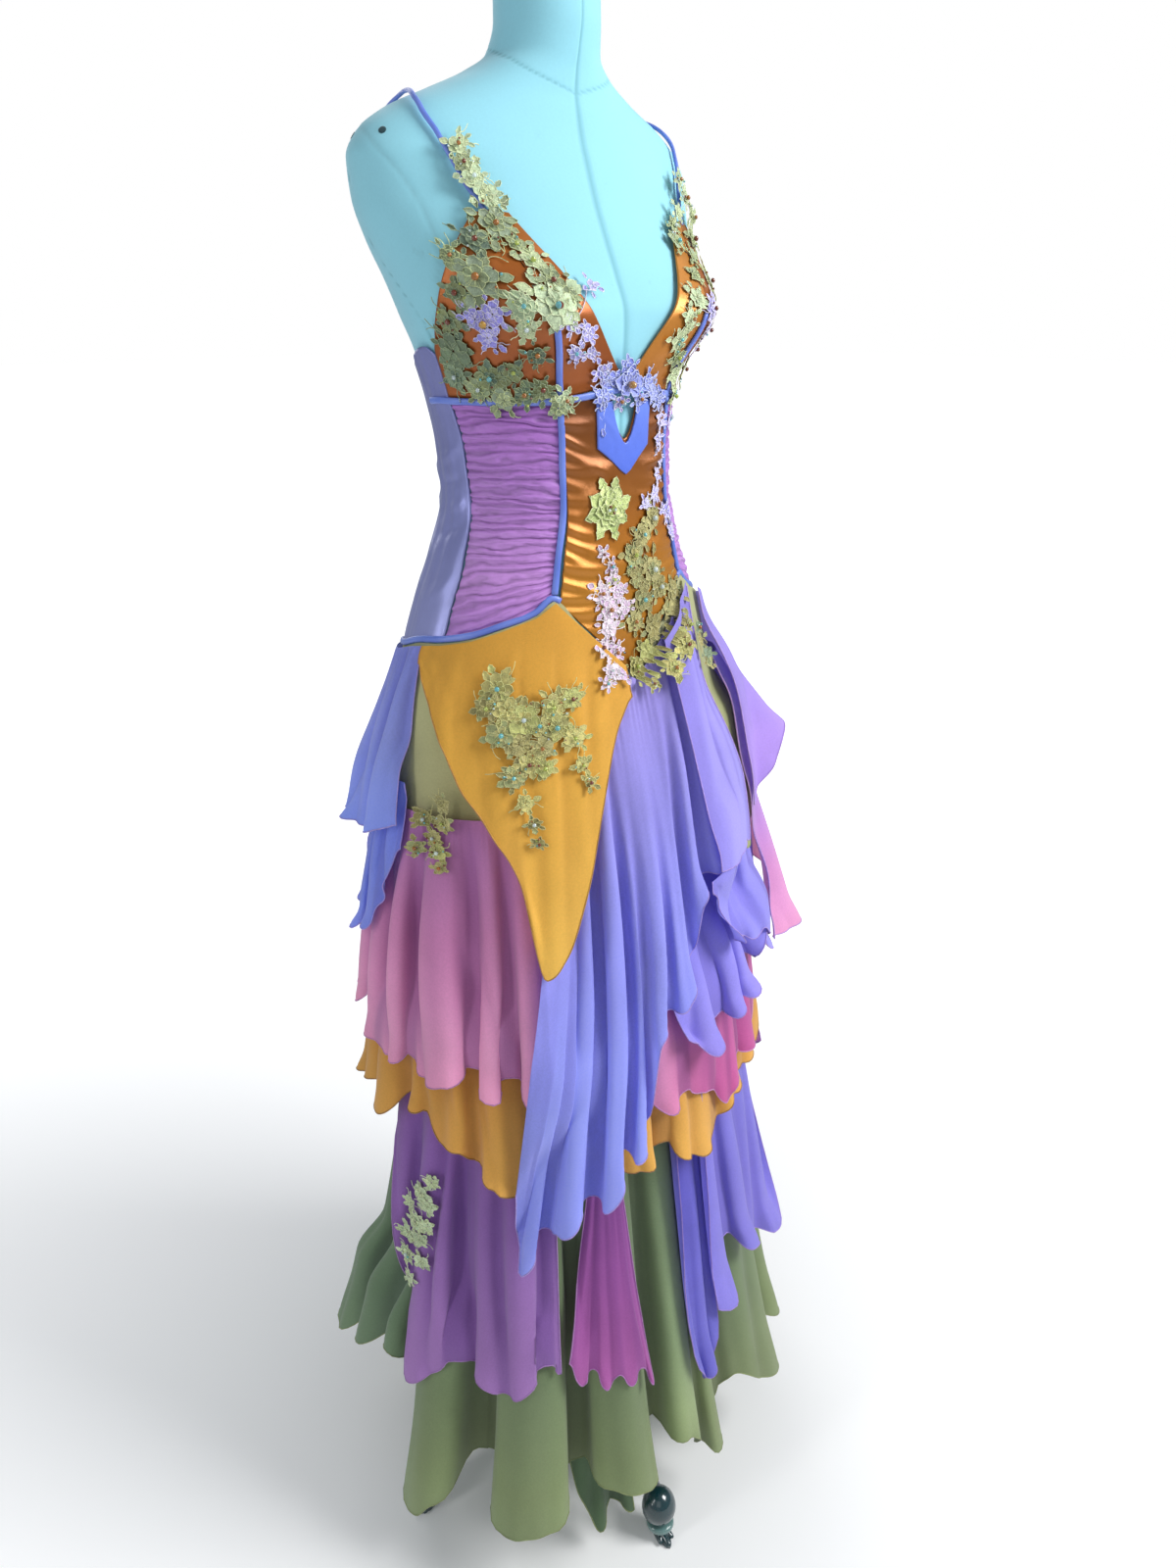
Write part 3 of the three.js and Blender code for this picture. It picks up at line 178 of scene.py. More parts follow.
# ---------------------------------------------------------------- meshes
class Mesh:
    """Gathers grids, tubes and balls into one object."""

    def __init__(self):
        self.v, self.c, self.f, self.uv, self.m, self.n = [], [], [], [], [], 0

    def points(self, p, colour):
        p = np.asarray(p, float).reshape(-1, 3)
        colour = np.broadcast_to(np.asarray(colour, float).reshape(-1, 3), p.shape)
        self.v.append(p)
        self.c.append(colour)
        self.n += len(p)
        return self.n - len(p)

    def faces(self, f, uv, mat):
        self.f.append(f)
        self.uv.append(uv.reshape(-1, 2))
        self.m.append(np.full(len(f), mat))

    def grid(self, p, colour=(0.8, 0.8, 0.8), mat=0, around=False, size=(1.0, 1.0), flip=False):
        """A sheet through p[i, j]: i runs with t, j from the top down."""
        a, b = p.shape[:2]
        start = self.points(p, np.asarray(colour).reshape(-1, 3) if np.ndim(colour) > 1 else colour)
        i, j = np.meshgrid(np.arange(a if around else a - 1), np.arange(b - 1), indexing="ij")
        i, j = i.ravel(), j.ravel()
        at = lambda x, y: start + (x % a) * b + y
        corners = [(i, j), (i, j + 1), (i + 1, j + 1), (i + 1, j)]
        if flip:
            corners.reverse()
        f = np.stack([at(x, y) for x, y in corners], -1)
        uv = np.stack([np.stack([x / (a - 1) * size[0], -y / (b - 1) * size[1]], -1) for x, y in corners], 1)
        self.faces(f, uv, mat)
        return self

    def tube(self, path, up, radius, sides=6, colour=(0.8, 0.8, 0.8), mat=0, flat=1.0, closed=False):
        """A cord along path; up is the direction in which it is flattened."""
        path = np.asarray(path, float)
        n = len(path)
        if closed:
            along = np.roll(path, -1, 0) - np.roll(path, 1, 0)
        else:
            along = np.gradient(path, axis=0)
        along /= np.linalg.norm(along, axis=1, keepdims=True) + 1e-12
        up = np.broadcast_to(np.asarray(up, float), path.shape)
        side = np.cross(along, up)
        side /= np.linalg.norm(side, axis=1, keepdims=True) + 1e-12
        top = np.cross(side, along)
        w = np.arange(sides) * 2 * np.pi / sides
        radius = np.broadcast_to(np.asarray(radius, float), (n,))[:, None, None]
        ring = (
            path[:, None]
            + radius * (np.cos(w)[None, :, None] * side[:, None] + flat * np.sin(w)[None, :, None] * top[:, None])
        )
        start = self.points(ring, colour)
        i, k = np.meshgrid(np.arange(n if closed else n - 1), np.arange(sides), indexing="ij")
        i, k = i.ravel(), k.ravel()
        at = lambda x, y: start + (x % n) * sides + y % sides
        corners = [(i, k), (i + 1, k), (i + 1, k + 1), (i, k + 1)]
        f = np.stack([at(x, y) for x, y in corners], -1)
        run = np.concatenate([[0], np.cumsum(np.linalg.norm(np.diff(path, axis=0), axis=1)), [0]])
        run[-1] = run[-2]
        uv = np.stack([np.stack([y / sides * 0.01, run[x]], -1) for x, y in corners], 1)
        self.faces(f, uv, mat)
        if not closed:
            for at_end, order in ((0, 1), (n - 1, -1)):
                ids = start + at_end * sides + np.arange(sides)[::order]
                tip = self.points(path[at_end], np.broadcast_to(np.asarray(colour, float).reshape(-1, 3)[-1], (1, 3)))
                f = np.stack([ids, np.roll(ids, -1), np.full(sides, tip)], -1)
                self.faces(f, np.zeros((sides, 3, 2)), mat)
        return self

    def ball(self, centre, axis, r, tall=1.0, colour=(0.8, 0.8, 0.8), mat=0, sides=8, rings=6):
        """A bead: radius r across, tall times that along its axis."""
        axis = np.asarray(axis, float)
        axis = axis / np.linalg.norm(axis)
        a = np.cross(axis, (0, 0, 1) if abs(axis[2]) < 0.9 else (1, 0, 0))
        a /= np.linalg.norm(a)
        b = np.cross(axis, a)
        lat = np.linspace(0, np.pi, rings + 1)
        w = np.arange(sides) * 2 * np.pi / sides
        p = (
            np.asarray(centre)
            + r * np.sin(lat)[None, :, None] * (np.cos(w)[:, None, None] * a + np.sin(w)[:, None, None] * b)
            + r * tall * np.cos(lat)[None, :, None] * axis
        )
        start = self.points(p, colour)
        i, j = np.meshgrid(np.arange(sides), np.arange(1, rings - 1), indexing="ij")
        i, j = i.ravel(), j.ravel()
        at = lambda x, y: start + (x % sides) * (rings + 1) + y
        f = np.stack([at(i, j), at(i, j + 1), at(i + 1, j + 1), at(i + 1, j)], -1)
        self.faces(f, np.zeros((len(f), 4, 2)), mat)
        k = np.arange(sides)
        self.faces(np.stack([at(k, 0), at(k, 1), at(k + 1, 1)], -1), np.zeros((sides, 3, 2)), mat)
        self.faces(np.stack([at(k, rings - 1), at(k, rings), at(k + 1, rings - 1)], -1), np.zeros((sides, 3, 2)), mat)
        return self

    def object(self, name, materials, slot, nodes=(), flatten=False):
        v, c = np.concatenate(self.v), np.concatenate(self.c)
        used = np.unique(np.concatenate([f.ravel() for f in self.f]))
        remap = np.full(len(v), -1)
        remap[used] = np.arange(len(used))
        mesh = bpy.data.meshes.new(name)
        mesh.vertices.add(len(used))
        mesh.vertices.foreach_set("co", v[used].ravel())
        loops = np.concatenate([remap[f].ravel() for f in self.f])
        counts = np.concatenate([np.full(len(f), f.shape[1]) for f in self.f])
        mesh.loops.add(len(loops))
        mesh.loops.foreach_set("vertex_index", loops.astype(np.int32))
        mesh.polygons.add(len(counts))
        mesh.polygons.foreach_set("loop_start", (np.cumsum(counts) - counts).astype(np.int32))
        mesh.polygons.foreach_set("material_index", np.concatenate(self.m).astype(np.int32))
        mesh.polygons.foreach_set("use_smooth", np.full(len(counts), not flatten))
        layer = mesh.uv_layers.new(name="cloth")
        layer.data.foreach_set("uv", np.concatenate(self.uv).ravel())
        mesh.update(calc_edges=True)
        dye = mesh.color_attributes.new("dye", "FLOAT_COLOR", "POINT")
        dye.data.foreach_set("color", np.concatenate([c[used], np.ones((len(used), 1))], 1).ravel())
        for m in materials:
            mesh.materials.append(m)
        ob = bpy.data.objects.new(name, mesh)
        bpy.context.scene.collection.objects.link(ob)
        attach(ob, "root")
        if nodes:
            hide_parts(*nodes)
        return ob


# ---------------------------------------------------------------- materials
def material(name, **sockets):
    m = bpy.data.materials.new(name)
    m.use_nodes = True
    tree = m.node_tree
    shader = tree.nodes["Principled BSDF"]
    for key, value in sockets.items():
        shader.inputs[key.replace("_", " ")].default_value = value
    return m, tree, shader


def node(tree, kind, values=None, **settings):
    n = tree.nodes.new(kind)
    for key, value in settings.items():
        setattr(n, key, value)
    for key, value in (values or {}).items():
        n.inputs[key].default_value = value
    return n


def dyed(tree, shader, vary=0.10, scale=14.0, fine=0.05, fine_scale=420.0):
    """Base colour: the piece's vertex colour, which is its dye and on some pieces also painted shade in folds and
    ruches, with slow clouding and a fine thread-to-thread change.
    """
    dye = node(tree, "ShaderNodeVertexColor", layer_name="dye")
    spot = node(tree, "ShaderNodeTexCoord")
    slow = node(tree, "ShaderNodeTexNoise", {"Scale": scale, "Detail": 3.0, "Roughness": 0.55})
    quick = node(tree, "ShaderNodeTexNoise", {"Scale": fine_scale, "Detail": 2.0})
    tree.links.new(spot.outputs["Object"], slow.inputs["Vector"])
    tree.links.new(spot.outputs["Object"], quick.inputs["Vector"])
    a = node(tree, "ShaderNodeMapRange", {"From Min": 0.25, "From Max": 0.75, "To Min": 1 - vary, "To Max": 1 + vary})
    b = node(tree, "ShaderNodeMapRange", {"From Min": 0.25, "From Max": 0.75, "To Min": 1 - fine, "To Max": 1 + fine})
    tree.links.new(slow.outputs["Fac"], a.inputs["Value"])
    tree.links.new(quick.outputs["Fac"], b.inputs["Value"])
    both = node(tree, "ShaderNodeMath", operation="MULTIPLY")
    tree.links.new(a.outputs["Result"], both.inputs[0])
    tree.links.new(b.outputs["Result"], both.inputs[1])
    mix = node(tree, "ShaderNodeVectorMath", operation="SCALE")
    tree.links.new(dye.outputs["Color"], mix.inputs[0])
    tree.links.new(both.outputs[0], mix.inputs["Scale"])
    tree.links.new(mix.outputs[0], shader.inputs["Base Color"])
    return spot, mix


def weave(tree, shader, threads, strength, distance, crepe=0.0, crepe_scale=700.0):
    """Bump of crossing threads along the cloth's own lengths, with a crepe grain over it."""
    uv = node(tree, "ShaderNodeUVMap", uv_map="cloth")
    spot = node(tree, "ShaderNodeTexCoord")
    waves = []
    for direction in ("X", "Y"):
        w = node(tree, "ShaderNodeTexWave", {"Scale": threads, "Distortion": 1.2, "Detail": 1.0, "Detail Scale": 2.0}, bands_direction=direction)
        tree.links.new(uv.outputs["UV"], w.inputs["Vector"])
        waves.append(w)
    add = node(tree, "ShaderNodeMath", operation="ADD")
    tree.links.new(waves[0].outputs["Fac"], add.inputs[0])
    tree.links.new(waves[1].outputs["Fac"], add.inputs[1])
    grain = node(tree, "ShaderNodeTexNoise", {"Scale": crepe_scale, "Detail": 3.0})
    tree.links.new(spot.outputs["Object"], grain.inputs["Vector"])
    scaled = node(tree, "ShaderNodeMath", operation="MULTIPLY")
    scaled.inputs[1].default_value = crepe
    tree.links.new(grain.outputs["Fac"], scaled.inputs[0])
    total = node(tree, "ShaderNodeMath", operation="ADD")
    tree.links.new(add.outputs[0], total.inputs[0])
    tree.links.new(scaled.outputs[0], total.inputs[1])
    bump = node(tree, "ShaderNodeBump", {"Strength": strength, "Distance": distance})
    tree.links.new(total.outputs[0], bump.inputs["Height"])
    tree.links.new(bump.outputs["Normal"], shader.inputs["Normal"])
    return bump


def chiffon(name):
    m, tree, shader = material(name, Roughness=0.78, Sheen_Weight=0.3, Sheen_Roughness=0.45, Specular_IOR_Level=0.25)
    spot, colour = dyed(tree, shader, 0.09, 9.0, 0.05, 500.0)
    bump = weave(tree, shader, 260.0, 0.25, 0.0004, 1.6, 620.0)
    through = node(tree, "ShaderNodeBsdfTranslucent")
    tree.links.new(colour.outputs[0], through.inputs["Color"])
    tree.links.new(bump.outputs["Normal"], through.inputs["Normal"])
    mix = node(tree, "ShaderNodeMixShader")
    mix.inputs[0].default_value = 0.22
    tree.links.new(shader.outputs[0], mix.inputs[1])
    tree.links.new(through.outputs[0], mix.inputs[2])
    tree.links.new(mix.outputs[0], tree.nodes["Material Output"].inputs["Surface"])
    return m


def satin(name, roughness=0.3, sheen=0.15, metal=0.0):
    m, tree, shader = material(
        name, Roughness=roughness, Sheen_Weight=sheen, Sheen_Roughness=0.3, Specular_IOR_Level=0.75, Anisotropic=0.5, Metallic=metal
    )
    dyed(tree, shader, 0.07, 22.0, 0.03, 600.0)
    weave(tree, shader, 420.0, 0.12, 0.0003, 0.5, 900.0)
    return m


def thread(name, roughness=0.5, metal=0.0, shine=0.5, vary=0.2, fine=0.35, lines=900.0, strength=0.7):
    """Embroidered lace: dense stitches that catch the light one by one."""
    m, tree, shader = material(name, Roughness=roughness, Specular_IOR_Level=shine, Metallic=metal, Sheen_Weight=0.2)
    dyed(tree, shader, vary, 60.0, fine, 800.0)
    weave(tree, shader, lines, strength, 0.0006, 1.5, 1100.0)
    return m


CHIFFON = chiffon("chiffon")
HEM = thread("hem_thread", 0.7, fine=0.2, lines=500.0, strength=0.4)
SATIN_CLOTH = satin("satin", 0.33, 0.1, 0.45)
RUCHED_CLOTH = satin("ruched_silk", 0.5, 0.3)
PIPING_CLOTH = satin("piping_satin", 0.34, 0.2)
LACE_GOLD = thread("lace_gold", 0.45, 0.12, 0.6, 0.2, 0.3, strength=0.3)
LACE_COLOURED = thread("lace_coloured", 0.5, 0.0, 0.5, 0.1, 0.2, strength=0.3)


def bead(name, colour, roughness, through, **more):
    m, tree, shader = material(name, Roughness=roughness, Transmission_Weight=through, IOR=1.5, **more)
    dyed(tree, shader, 0.2, 300.0, 0.05, 900.0)
    return m


BEAD_AMBER = bead("bead_amber", None, 0.12, 0.25, Coat_Weight=0.6)
BEAD_CLEAR = bead("bead_clear", None, 0.06, 0.45, Coat_Weight=0.8)


def form_cloth():
    m, tree, shader = material("form_jersey", Roughness=0.72, Sheen_Weight=0.25, Specular_IOR_Level=0.3)
    spot, colour = dyed(tree, shader, 0.05, 6.0, 0.02, 500.0)
    # handling marks: small faint darker smudges
    marks = node(tree, "ShaderNodeTexNoise", {"Scale": 34.0, "Detail": 4.0, "Roughness": 0.6})
    tree.links.new(spot.outputs["Object"], marks.inputs["Vector"])
    ramp = node(tree, "ShaderNodeMapRange", {"From Min": 0.66, "From Max": 0.78, "To Min": 1.0, "To Max": 0.82})
    tree.links.new(marks.outputs["Fac"], ramp.inputs["Value"])
    scale = node(tree, "ShaderNodeVectorMath", operation="SCALE")
    tree.links.new(colour.outputs[0], scale.inputs[0])
    tree.links.new(ramp.outputs["Result"], scale.inputs["Scale"])
    tree.links.new(scale.outputs[0], shader.inputs["Base Color"])
    weave(tree, shader, 330.0, 0.15, 0.0004, 0.8, 500.0)
    return m


FORM_CLOTH = form_cloth()


def stand_metal():
    m, tree, shader = material("stand_enamel", Roughness=0.2, Specular_IOR_Level=0.6, Coat_Weight=0.7, Coat_Roughness=0.08)
    spot, colour = dyed(tree, shader, 0.25, 20.0, 0.05, 300.0)
    wear = node(tree, "ShaderNodeTexNoise", {"Scale": 55.0, "Detail": 5.0})
    tree.links.new(spot.outputs["Object"], wear.inputs["Vector"])
    rough = node(tree, "ShaderNodeMapRange", {"From Min": 0.35, "From Max": 0.75, "To Min": 0.14, "To Max": 0.42})
    tree.links.new(wear.outputs["Fac"], rough.inputs["Value"])
    tree.links.new(rough.outputs["Result"], shader.inputs["Roughness"])
    bump = node(tree, "ShaderNodeBump", {"Strength": 0.12, "Distance": 0.001})
    tree.links.new(wear.outputs["Fac"], bump.inputs["Height"])
    tree.links.new(bump.outputs["Normal"], shader.inputs["Normal"])
    return m


STAND = stand_metal()

# ---------------------------------------------------------------- cut sizes
SHEETS = []


def cut(ob, p):
    across = float(np.median(np.linalg.norm(np.diff(p, axis=0), axis=-1).sum(0)))
    down = float(np.linalg.norm(np.diff(p, axis=1), axis=-1).sum(1).max())
    a, b, c, d = p[:-1, :-1], p[1:, :-1], p[1:, 1:], p[:-1, 1:]
    area = float((np.linalg.norm(np.cross(b - a, c - a), axis=-1) + np.linalg.norm(np.cross(c - a, d - a), axis=-1)).sum() / 2)
    across = min(max(across, area / down), area / (0.34 * down))
    SHEETS.append((ob.name, across, down, area))


# ---------------------------------------------------------------- dress form
NECK_SEAM = [(0, 1543), (8, 1547), (26, 1554), (56, 1565), (90, 1573), (122, 1580), (180, 1590)]
SIDE_SEAM = [(880, 92), (1100, 90), (1300, 86), (1363, 84), (1387, 90), (1412, 96), (1436, 98.5), (1470, 99), (1506, 102)]
AQUA, AQUA_SEAM = rgb("#93d3e2"), rgb("#579aa6")


def make_form():
    t = np.linspace(-180, 180, 193)[:-1]
    z = np.concatenate([np.linspace(1650, 1530, 64), np.linspace(1528, 1300, 88), np.linspace(1297, 880, 16)])
    T, Z = np.meshgrid(t, z, indexing="ij")
    groove = np.zeros_like(T)
    arc = 2.2  # millimetres to a degree, roughly
    lines = [
        (np.abs(T) * arc + 0 * Z, (Z < 1650) & (Z > 1000)),
        ((180 - np.abs(T)) * arc, Z > 880),
        (np.abs(Z - np.interp(np.abs(T), [r[0] for r in NECK_SEAM], [r[1] for r in NECK_SEAM])), np.abs(T) <= 180),
        (np.abs(np.abs(T) - np.interp(Z, [r[0] for r in SIDE_SEAM], [r[1] for r in SIDE_SEAM])) * arc, Z < 1506),
    ]
    for d, where in lines:
        groove = np.maximum(groove, np.where(where, np.exp(-((d / 0.7) ** 2)), 0))
    # the plate at the end of the shoulder: a shallow edge from one fixing hole down the front of the arm
    plate = np.hypot((np.abs(T) - 100) / 42.0, (Z - 1440) / 72.0)
    edge = np.exp(-(((plate - 1) / 0.022) ** 2)) * (Z > 1395)
    P = place(T, Z, -0.8 * groove - 0.5 * edge, full=1 - SLACK / BUST["out"], form=True)
    mesh = Mesh()
    shade = (AQUA[None, None] * (1 - 0.6 * groove[..., None]) + AQUA_SEAM * 0.6 * groove[..., None]) * (1 - 0.12 * edge[..., None])
    mesh.grid(P, shade.reshape(-1, 3), around=True, size=(0.9, 0.8))
    # closed at the neck and the hips
    for row, zc, up in ((0, 1650, 1), (-1, 880, -1)):
        ring = P[:, row]
        middle = ring.mean(0)
        rings = np.stack([ring * (1 - s) + middle * s for s in (0, 0.5, 1.0)], 1)
        mesh.grid(rings, AQUA, around=True, flip=up > 0)
    # fixing holes of the shoulder plate, each a flat dark disc: painted shade for the inside of the hole
    for side in (-1, 1):
        for tt, zz in ((102, 1506), (73, 1507)):
            c = place(side * tt, zz, 0.15, full=0, form=True)
            n = normal(side * tt, zz, 0.0)
            mesh.ball(c, n, 0.0033, 0.12, rgb("#1d4148"), sides=14)
    ob = mesh.object("form_body", [FORM_CLOTH], "form_cloth", ["form_torso", "form_neck_cap"])
    cap = Mesh()
    profile = [(0, 1650.3), (41, 1650.3), (43, 1651.5), (43, 1654), (41, 1657.5), (33, 1660.3), (20, 1662), (0, 1663)]
    r = np.interp(np.linspace(0, 7, 29), range(8), [p[0] for p in profile])
    zz = np.interp(np.linspace(0, 7, 29), range(8), [p[1] for p in profile])
    w = np.radians(np.arange(0, 360, 6))
    P = np.stack([r[None] * np.sin(w)[:, None] + SHIFT[0], 9 - r[None] * np.cos(w)[:, None] + SHIFT[1], zz[None] + 0 * w[:, None]], -1) / 1000
    cap.grid(P[:, ::-1], AQUA * 0.93, around=True)
    cap.object("form_cap", [FORM_CLOTH], "form_cloth")
    return ob


FORM_BODY = make_form()


# ---------------------------------------------------------------- stand
def lathe(mesh, profile, colour, centre=(0, 0), sides=40):
    r, z = np.array(profile, float).T
    w = np.radians(np.arange(0, 360, 360 / sides))
    P = np.stack(
        [r[None] * np.sin(w)[:, None] + centre[0], -r[None] * np.cos(w)[:, None] + centre[1], z[None] + 0 * w[:, None]], -1
    ) / 1000
    mesh.grid(P, colour, around=True)


def rounded(profile, extra=6):
    """A lathe profile with its corners eased."""
    p = np.array(profile, float)
    for _ in range(2):
        q = [p[0]]
        for a, b in zip(p[:-1], p[1:]):
            q += [a * 0.8 + b * 0.2, a * 0.2 + b * 0.8]
        q.append(p[-1])
        p = np.array(q)
    return p


TEAL, TEAL_PALE = rgb("#0d3238"), rgb("#5d7f7c")


def make_stand():
    mesh = Mesh()
    lathe(mesh, rounded([(0, 879.7), (34, 879.7), (34, 862), (30, 846), (16.2, 836), (16, 700), (16, 152), (0, 152)]), TEAL, SHIFT)
    mesh.object("stand_pole_turned", [STAND], "stand_metal", ["stand_pole"])
    mesh = Mesh()
    lathe(mesh, rounded([(0, 151.7), (19, 151.7), (22, 142), (33, 132), (36, 112), (33, 98), (20, 90), (0, 88)]), TEAL, SHIFT)
    mesh.object("stand_hub_turned", [STAND], "stand_metal", ["stand_hub"])
    limb = [(33, 112, 10, 13), (80, 112, 9, 12), (125, 102, 9, 11), (170, 84, 9, 11), (205, 62, 10, 12), (232, 46, 12, 14)]
    for k in range(5):
        mesh = Mesh()
        a = math.radians(-13.5 + 72 * k)
        out = np.array([math.sin(a), -math.cos(a), 0])
        side = np.array([math.cos(a), math.sin(a), 0])
        base = np.array([SHIFT[0], SHIFT[1], 0])
        at = lambda r, s, z: (base + out * r + side * s + np.array([0, 0, 1.0]) * z) / 1000
        q = np.linspace(0, 5, 41)
        r, z, wide, tall = [curve(range(6), [row[c] for row in limb], q) for c in range(4)]
        dr, dz = np.gradient(r), np.gradient(z)
        n = np.hypot(dr, dz)
        w = np.arange(16) * 2 * np.pi / 16
        P = np.array([[at(r[j] - dz[j] / n[j] * math.sin(x) * tall[j], math.cos(x) * wide[j], z[j] + dr[j] / n[j] * math.sin(x) * tall[j]) for j in range(41)] for x in w])
        mesh.grid(P, TEAL, around=True)
        mesh.ball(at(240, 0, 43), (0, 0, 1), 0.0206, 1.22, TEAL, sides=28, rings=20)
        # a paler collar, then the claw with three toes on a flat sole
        ring = rounded([(0, 24.5), (14.5, 24), (16.5, 22), (16.8, 17.5), (15, 15.2), (0, 15)])
        c = at(244, 0, 0) * 1000
        lathe(mesh, ring, TEAL_PALE, c[:2], 28)
        for lean, reach in ((0, 268), (-0.62, 261), (0.62, 261)):
            q = np.linspace(0, 1, 15)
            far = reach - 238
            rr = 238 + far * q
            ss = lean * 14 * q
            zz = 15.5 - 10.5 * q - 3.0 * np.sin(np.pi * q)
            zz = np.maximum(zz, 2.6)
            size = (6.4 - 2.6 * q) * np.sqrt(np.clip(1 - (q * 0.98) ** 6, 0.02, 1))
            path = np.array([at(x, y, v) for x, y, v in zip(rr, ss, np.maximum(zz, size))])
            mesh.tube(path, (0, 0, 1), size / 1000, 12, TEAL, flat=0.95)
        sole = [(236, -8), (252, -9), (266, -3), (268, 0), (266, 3), (252, 9), (236, 8)]
        P = np.array([[at(x, y, v) for v in (5.5, 4.5, 0.4, 0)] for x, y in sole])
        rim = np.array([[at(250 + (x - 250) * g, y * g, v) for g, v in ((0, 6), (0.9, 6), (1, 5.2), (1, 0.5), (0.98, 0), (0, 0))] for x, y in sole])
        mesh.grid(rim, TEAL, around=True)
        mesh.object(f"stand_leg_{k + 1}_cast", [STAND], "stand_metal", [f"stand_leg_{k + 1}"])


make_stand()

# ---------------------------------------------------------------- bodice
HIP = [
    (-180, 1062), (-150, 1066), (-128, 1072), (-107, 1079), (-90, 1090), (-76, 1094), (-63, 1100), (-52, 1109),
    (-39, 1121), (-32.6, 1133), (-22.5, 1110), (-13.7, 1089), (0, 1052), (13.7, 1089), (22.5, 1110), (32.6, 1133),
    (39, 1121), (52, 1109), (63, 1100), (76, 1094), (90, 1090), (107, 1079), (128, 1072), (150, 1066), (180, 1062),
]


def hip(t):
    return line(HIP, wrap(t))


CUP_SIDE = [(-43, 1447, -38, 1450), (-59, 1409, -35.5, 1415), (-70, 1380, -33.2, 1380), (-79, 1354, -31.6, 1354), (-82.8, 1339, -31, 1330), (-82.8, 1304.5, -30.4, 1304.5)]
CUP_CENTRE = [(-37.7, 1450, -31.5, 1448), (-35.2, 1415, -25.4, 1415), (-32.9, 1380, -18.7, 1380), (-31.3, 1354, -12.2, 1353), (-30.7, 1330, -4.5, 1327), (-30.1, 1304.5, -0.4, 1317)]
RUCHED = [(-82.6, 1301.5, -30.7, 1301.5), (-80.3, 1268, -31.2, 1268), (-79.3, 1226, -32, 1226), (-78.2, 1192, -32.9, 1192), (-75.6, 1151, -33.1, 1160), (-75.6, 1096, -33.2, 1136)]


def creases(T, Z, lines):
    """Soft folds in drawn cloth: each runs from (t, z) to (t, z), with a width and a height in mm that die away at its ends."""
    h = np.zeros_like(T)
    for t0, z0, t1, z1, wide, tall in lines:
        x, y = (T - t0) * 2.1, Z - z0
        dx, dy = (t1 - t0) * 2.1, z1 - z0
        size = math.hypot(dx, dy)
        s = (x * dx + y * dy) / size**2
        bow = 0.06 * size * np.sin(np.pi * np.clip(s, 0, 1))
        d = (x * dy - y * dx) / size + bow
        ends = np.clip(s * 3.0 + 0.25, 0, 1) * np.clip((1 - s) * 1.4 + 0.1, 0, 1)
        h += tall * smooth(ends) * np.exp(-((d / wide) ** 2))
    return h


def panel(name, T, Z, H, colour, mat, slot, node_name, edge=1.6, flip=False):
    """A bodice panel: the cloth, its edges turned under to the form."""
    turned = lambda a, d: np.pad(a, 1, mode="edge") if d is None else a
    Tp, Zp, Hp = [np.pad(a, 1, mode="edge") for a in (T, Z, H)]
    Hp[0], Hp[-1], Hp[:, 0], Hp[:, -1] = Hp[0] - edge, Hp[-1] - edge, Hp[:, 0] - edge, Hp[:, -1] - edge
    P = place(Tp, Zp, Hp)
    c = np.pad(np.broadcast_to(np.asarray(colour, float), T.shape + (3,)), ((1, 1), (1, 1), (0, 0)), mode="edge")
    across = float(np.linalg.norm(np.diff(P[:, P.shape[1] // 2], axis=0), axis=-1).sum())
    down = float(np.linalg.norm(np.diff(P[P.shape[0] // 2], axis=0), axis=-1).sum())
    mesh = Mesh()
    mesh.grid(P, c.reshape(-1, 3), size=(across, down))
    ob = mesh.object(name, [mat], slot, [node_name] if node_name else [])
    cut(ob, P)
    return ob


def rows_grid(table, across, down, sign=1):
    """Stations of a panel given by rows: left t, z, right t, z from the top edge down."""
    s = np.linspace(0, len(table) - 1, down)
    tl, zl, tr, zr = [curve(range(len(table)), [row[c] for row in table], s) for c in range(4)]
    w = np.linspace(0, 1, across)[:, None]
    T, Z = tl + (tr - tl) * w, zl + (zr - zl) * w
    if sign > 0:
        T, Z = -T[::-1], Z[::-1]
    return T, Z


CLOTH = ON_FORM + SATIN
BRONZE = [(1300, "#a4571c"), (1340, "#a2541e"), (1400, "#b0601f"), (1450, "#b8702a")]


def make_cups(side, sign):
    T, Z = rows_grid(CUP_SIDE, 46, 56, sign)
    k = np.sign(T)
    lines = [(-78, 1322, -45, 1338, 5, 0.9), (-76, 1350, -50, 1362, 5, 0.8), (-40, 1430, -52, 1390, 4, 0.8), (-70, 1312, -40, 1314, 4, -0.8), (-62, 1330, -38, 1348, 7, 0.7)]
    H = CLOTH + creases(-np.abs(T), Z, lines) + 0.35 * noise(T / 9, Z / 26, 5)
    panel(f"gown_cup_side_{side}", T, Z, H, blend(BRONZE, Z), SATIN_CLOTH, "bronze_satin", f"bodice_cup_side_{side}")
    T, Z = rows_grid(CUP_CENTRE, 30, 56, sign)
    lines = [(-30, 1330, -12, 1340, 4, 0.8), (-29, 1312, -10, 1318, 4, -0.8), (-28, 1360, -20, 1375, 4, 0.5)]
    H = CLOTH + creases(-np.abs(T), Z, lines) + 0.3 * noise(T / 7, Z / 24, 8)
    # painted light: the left centre cup gets a lighter copy of the same bronze satin
    dye = BRONZE if side == "R" else [(1300, "#b8702a"), (1350, "#cc8434"), (1450, "#d08a38")]
    panel(f"gown_cup_centre_{side}", T, Z, H, blend(dye, Z), SATIN_CLOTH, "bronze_satin", f"bodice_cup_centre_{side}")


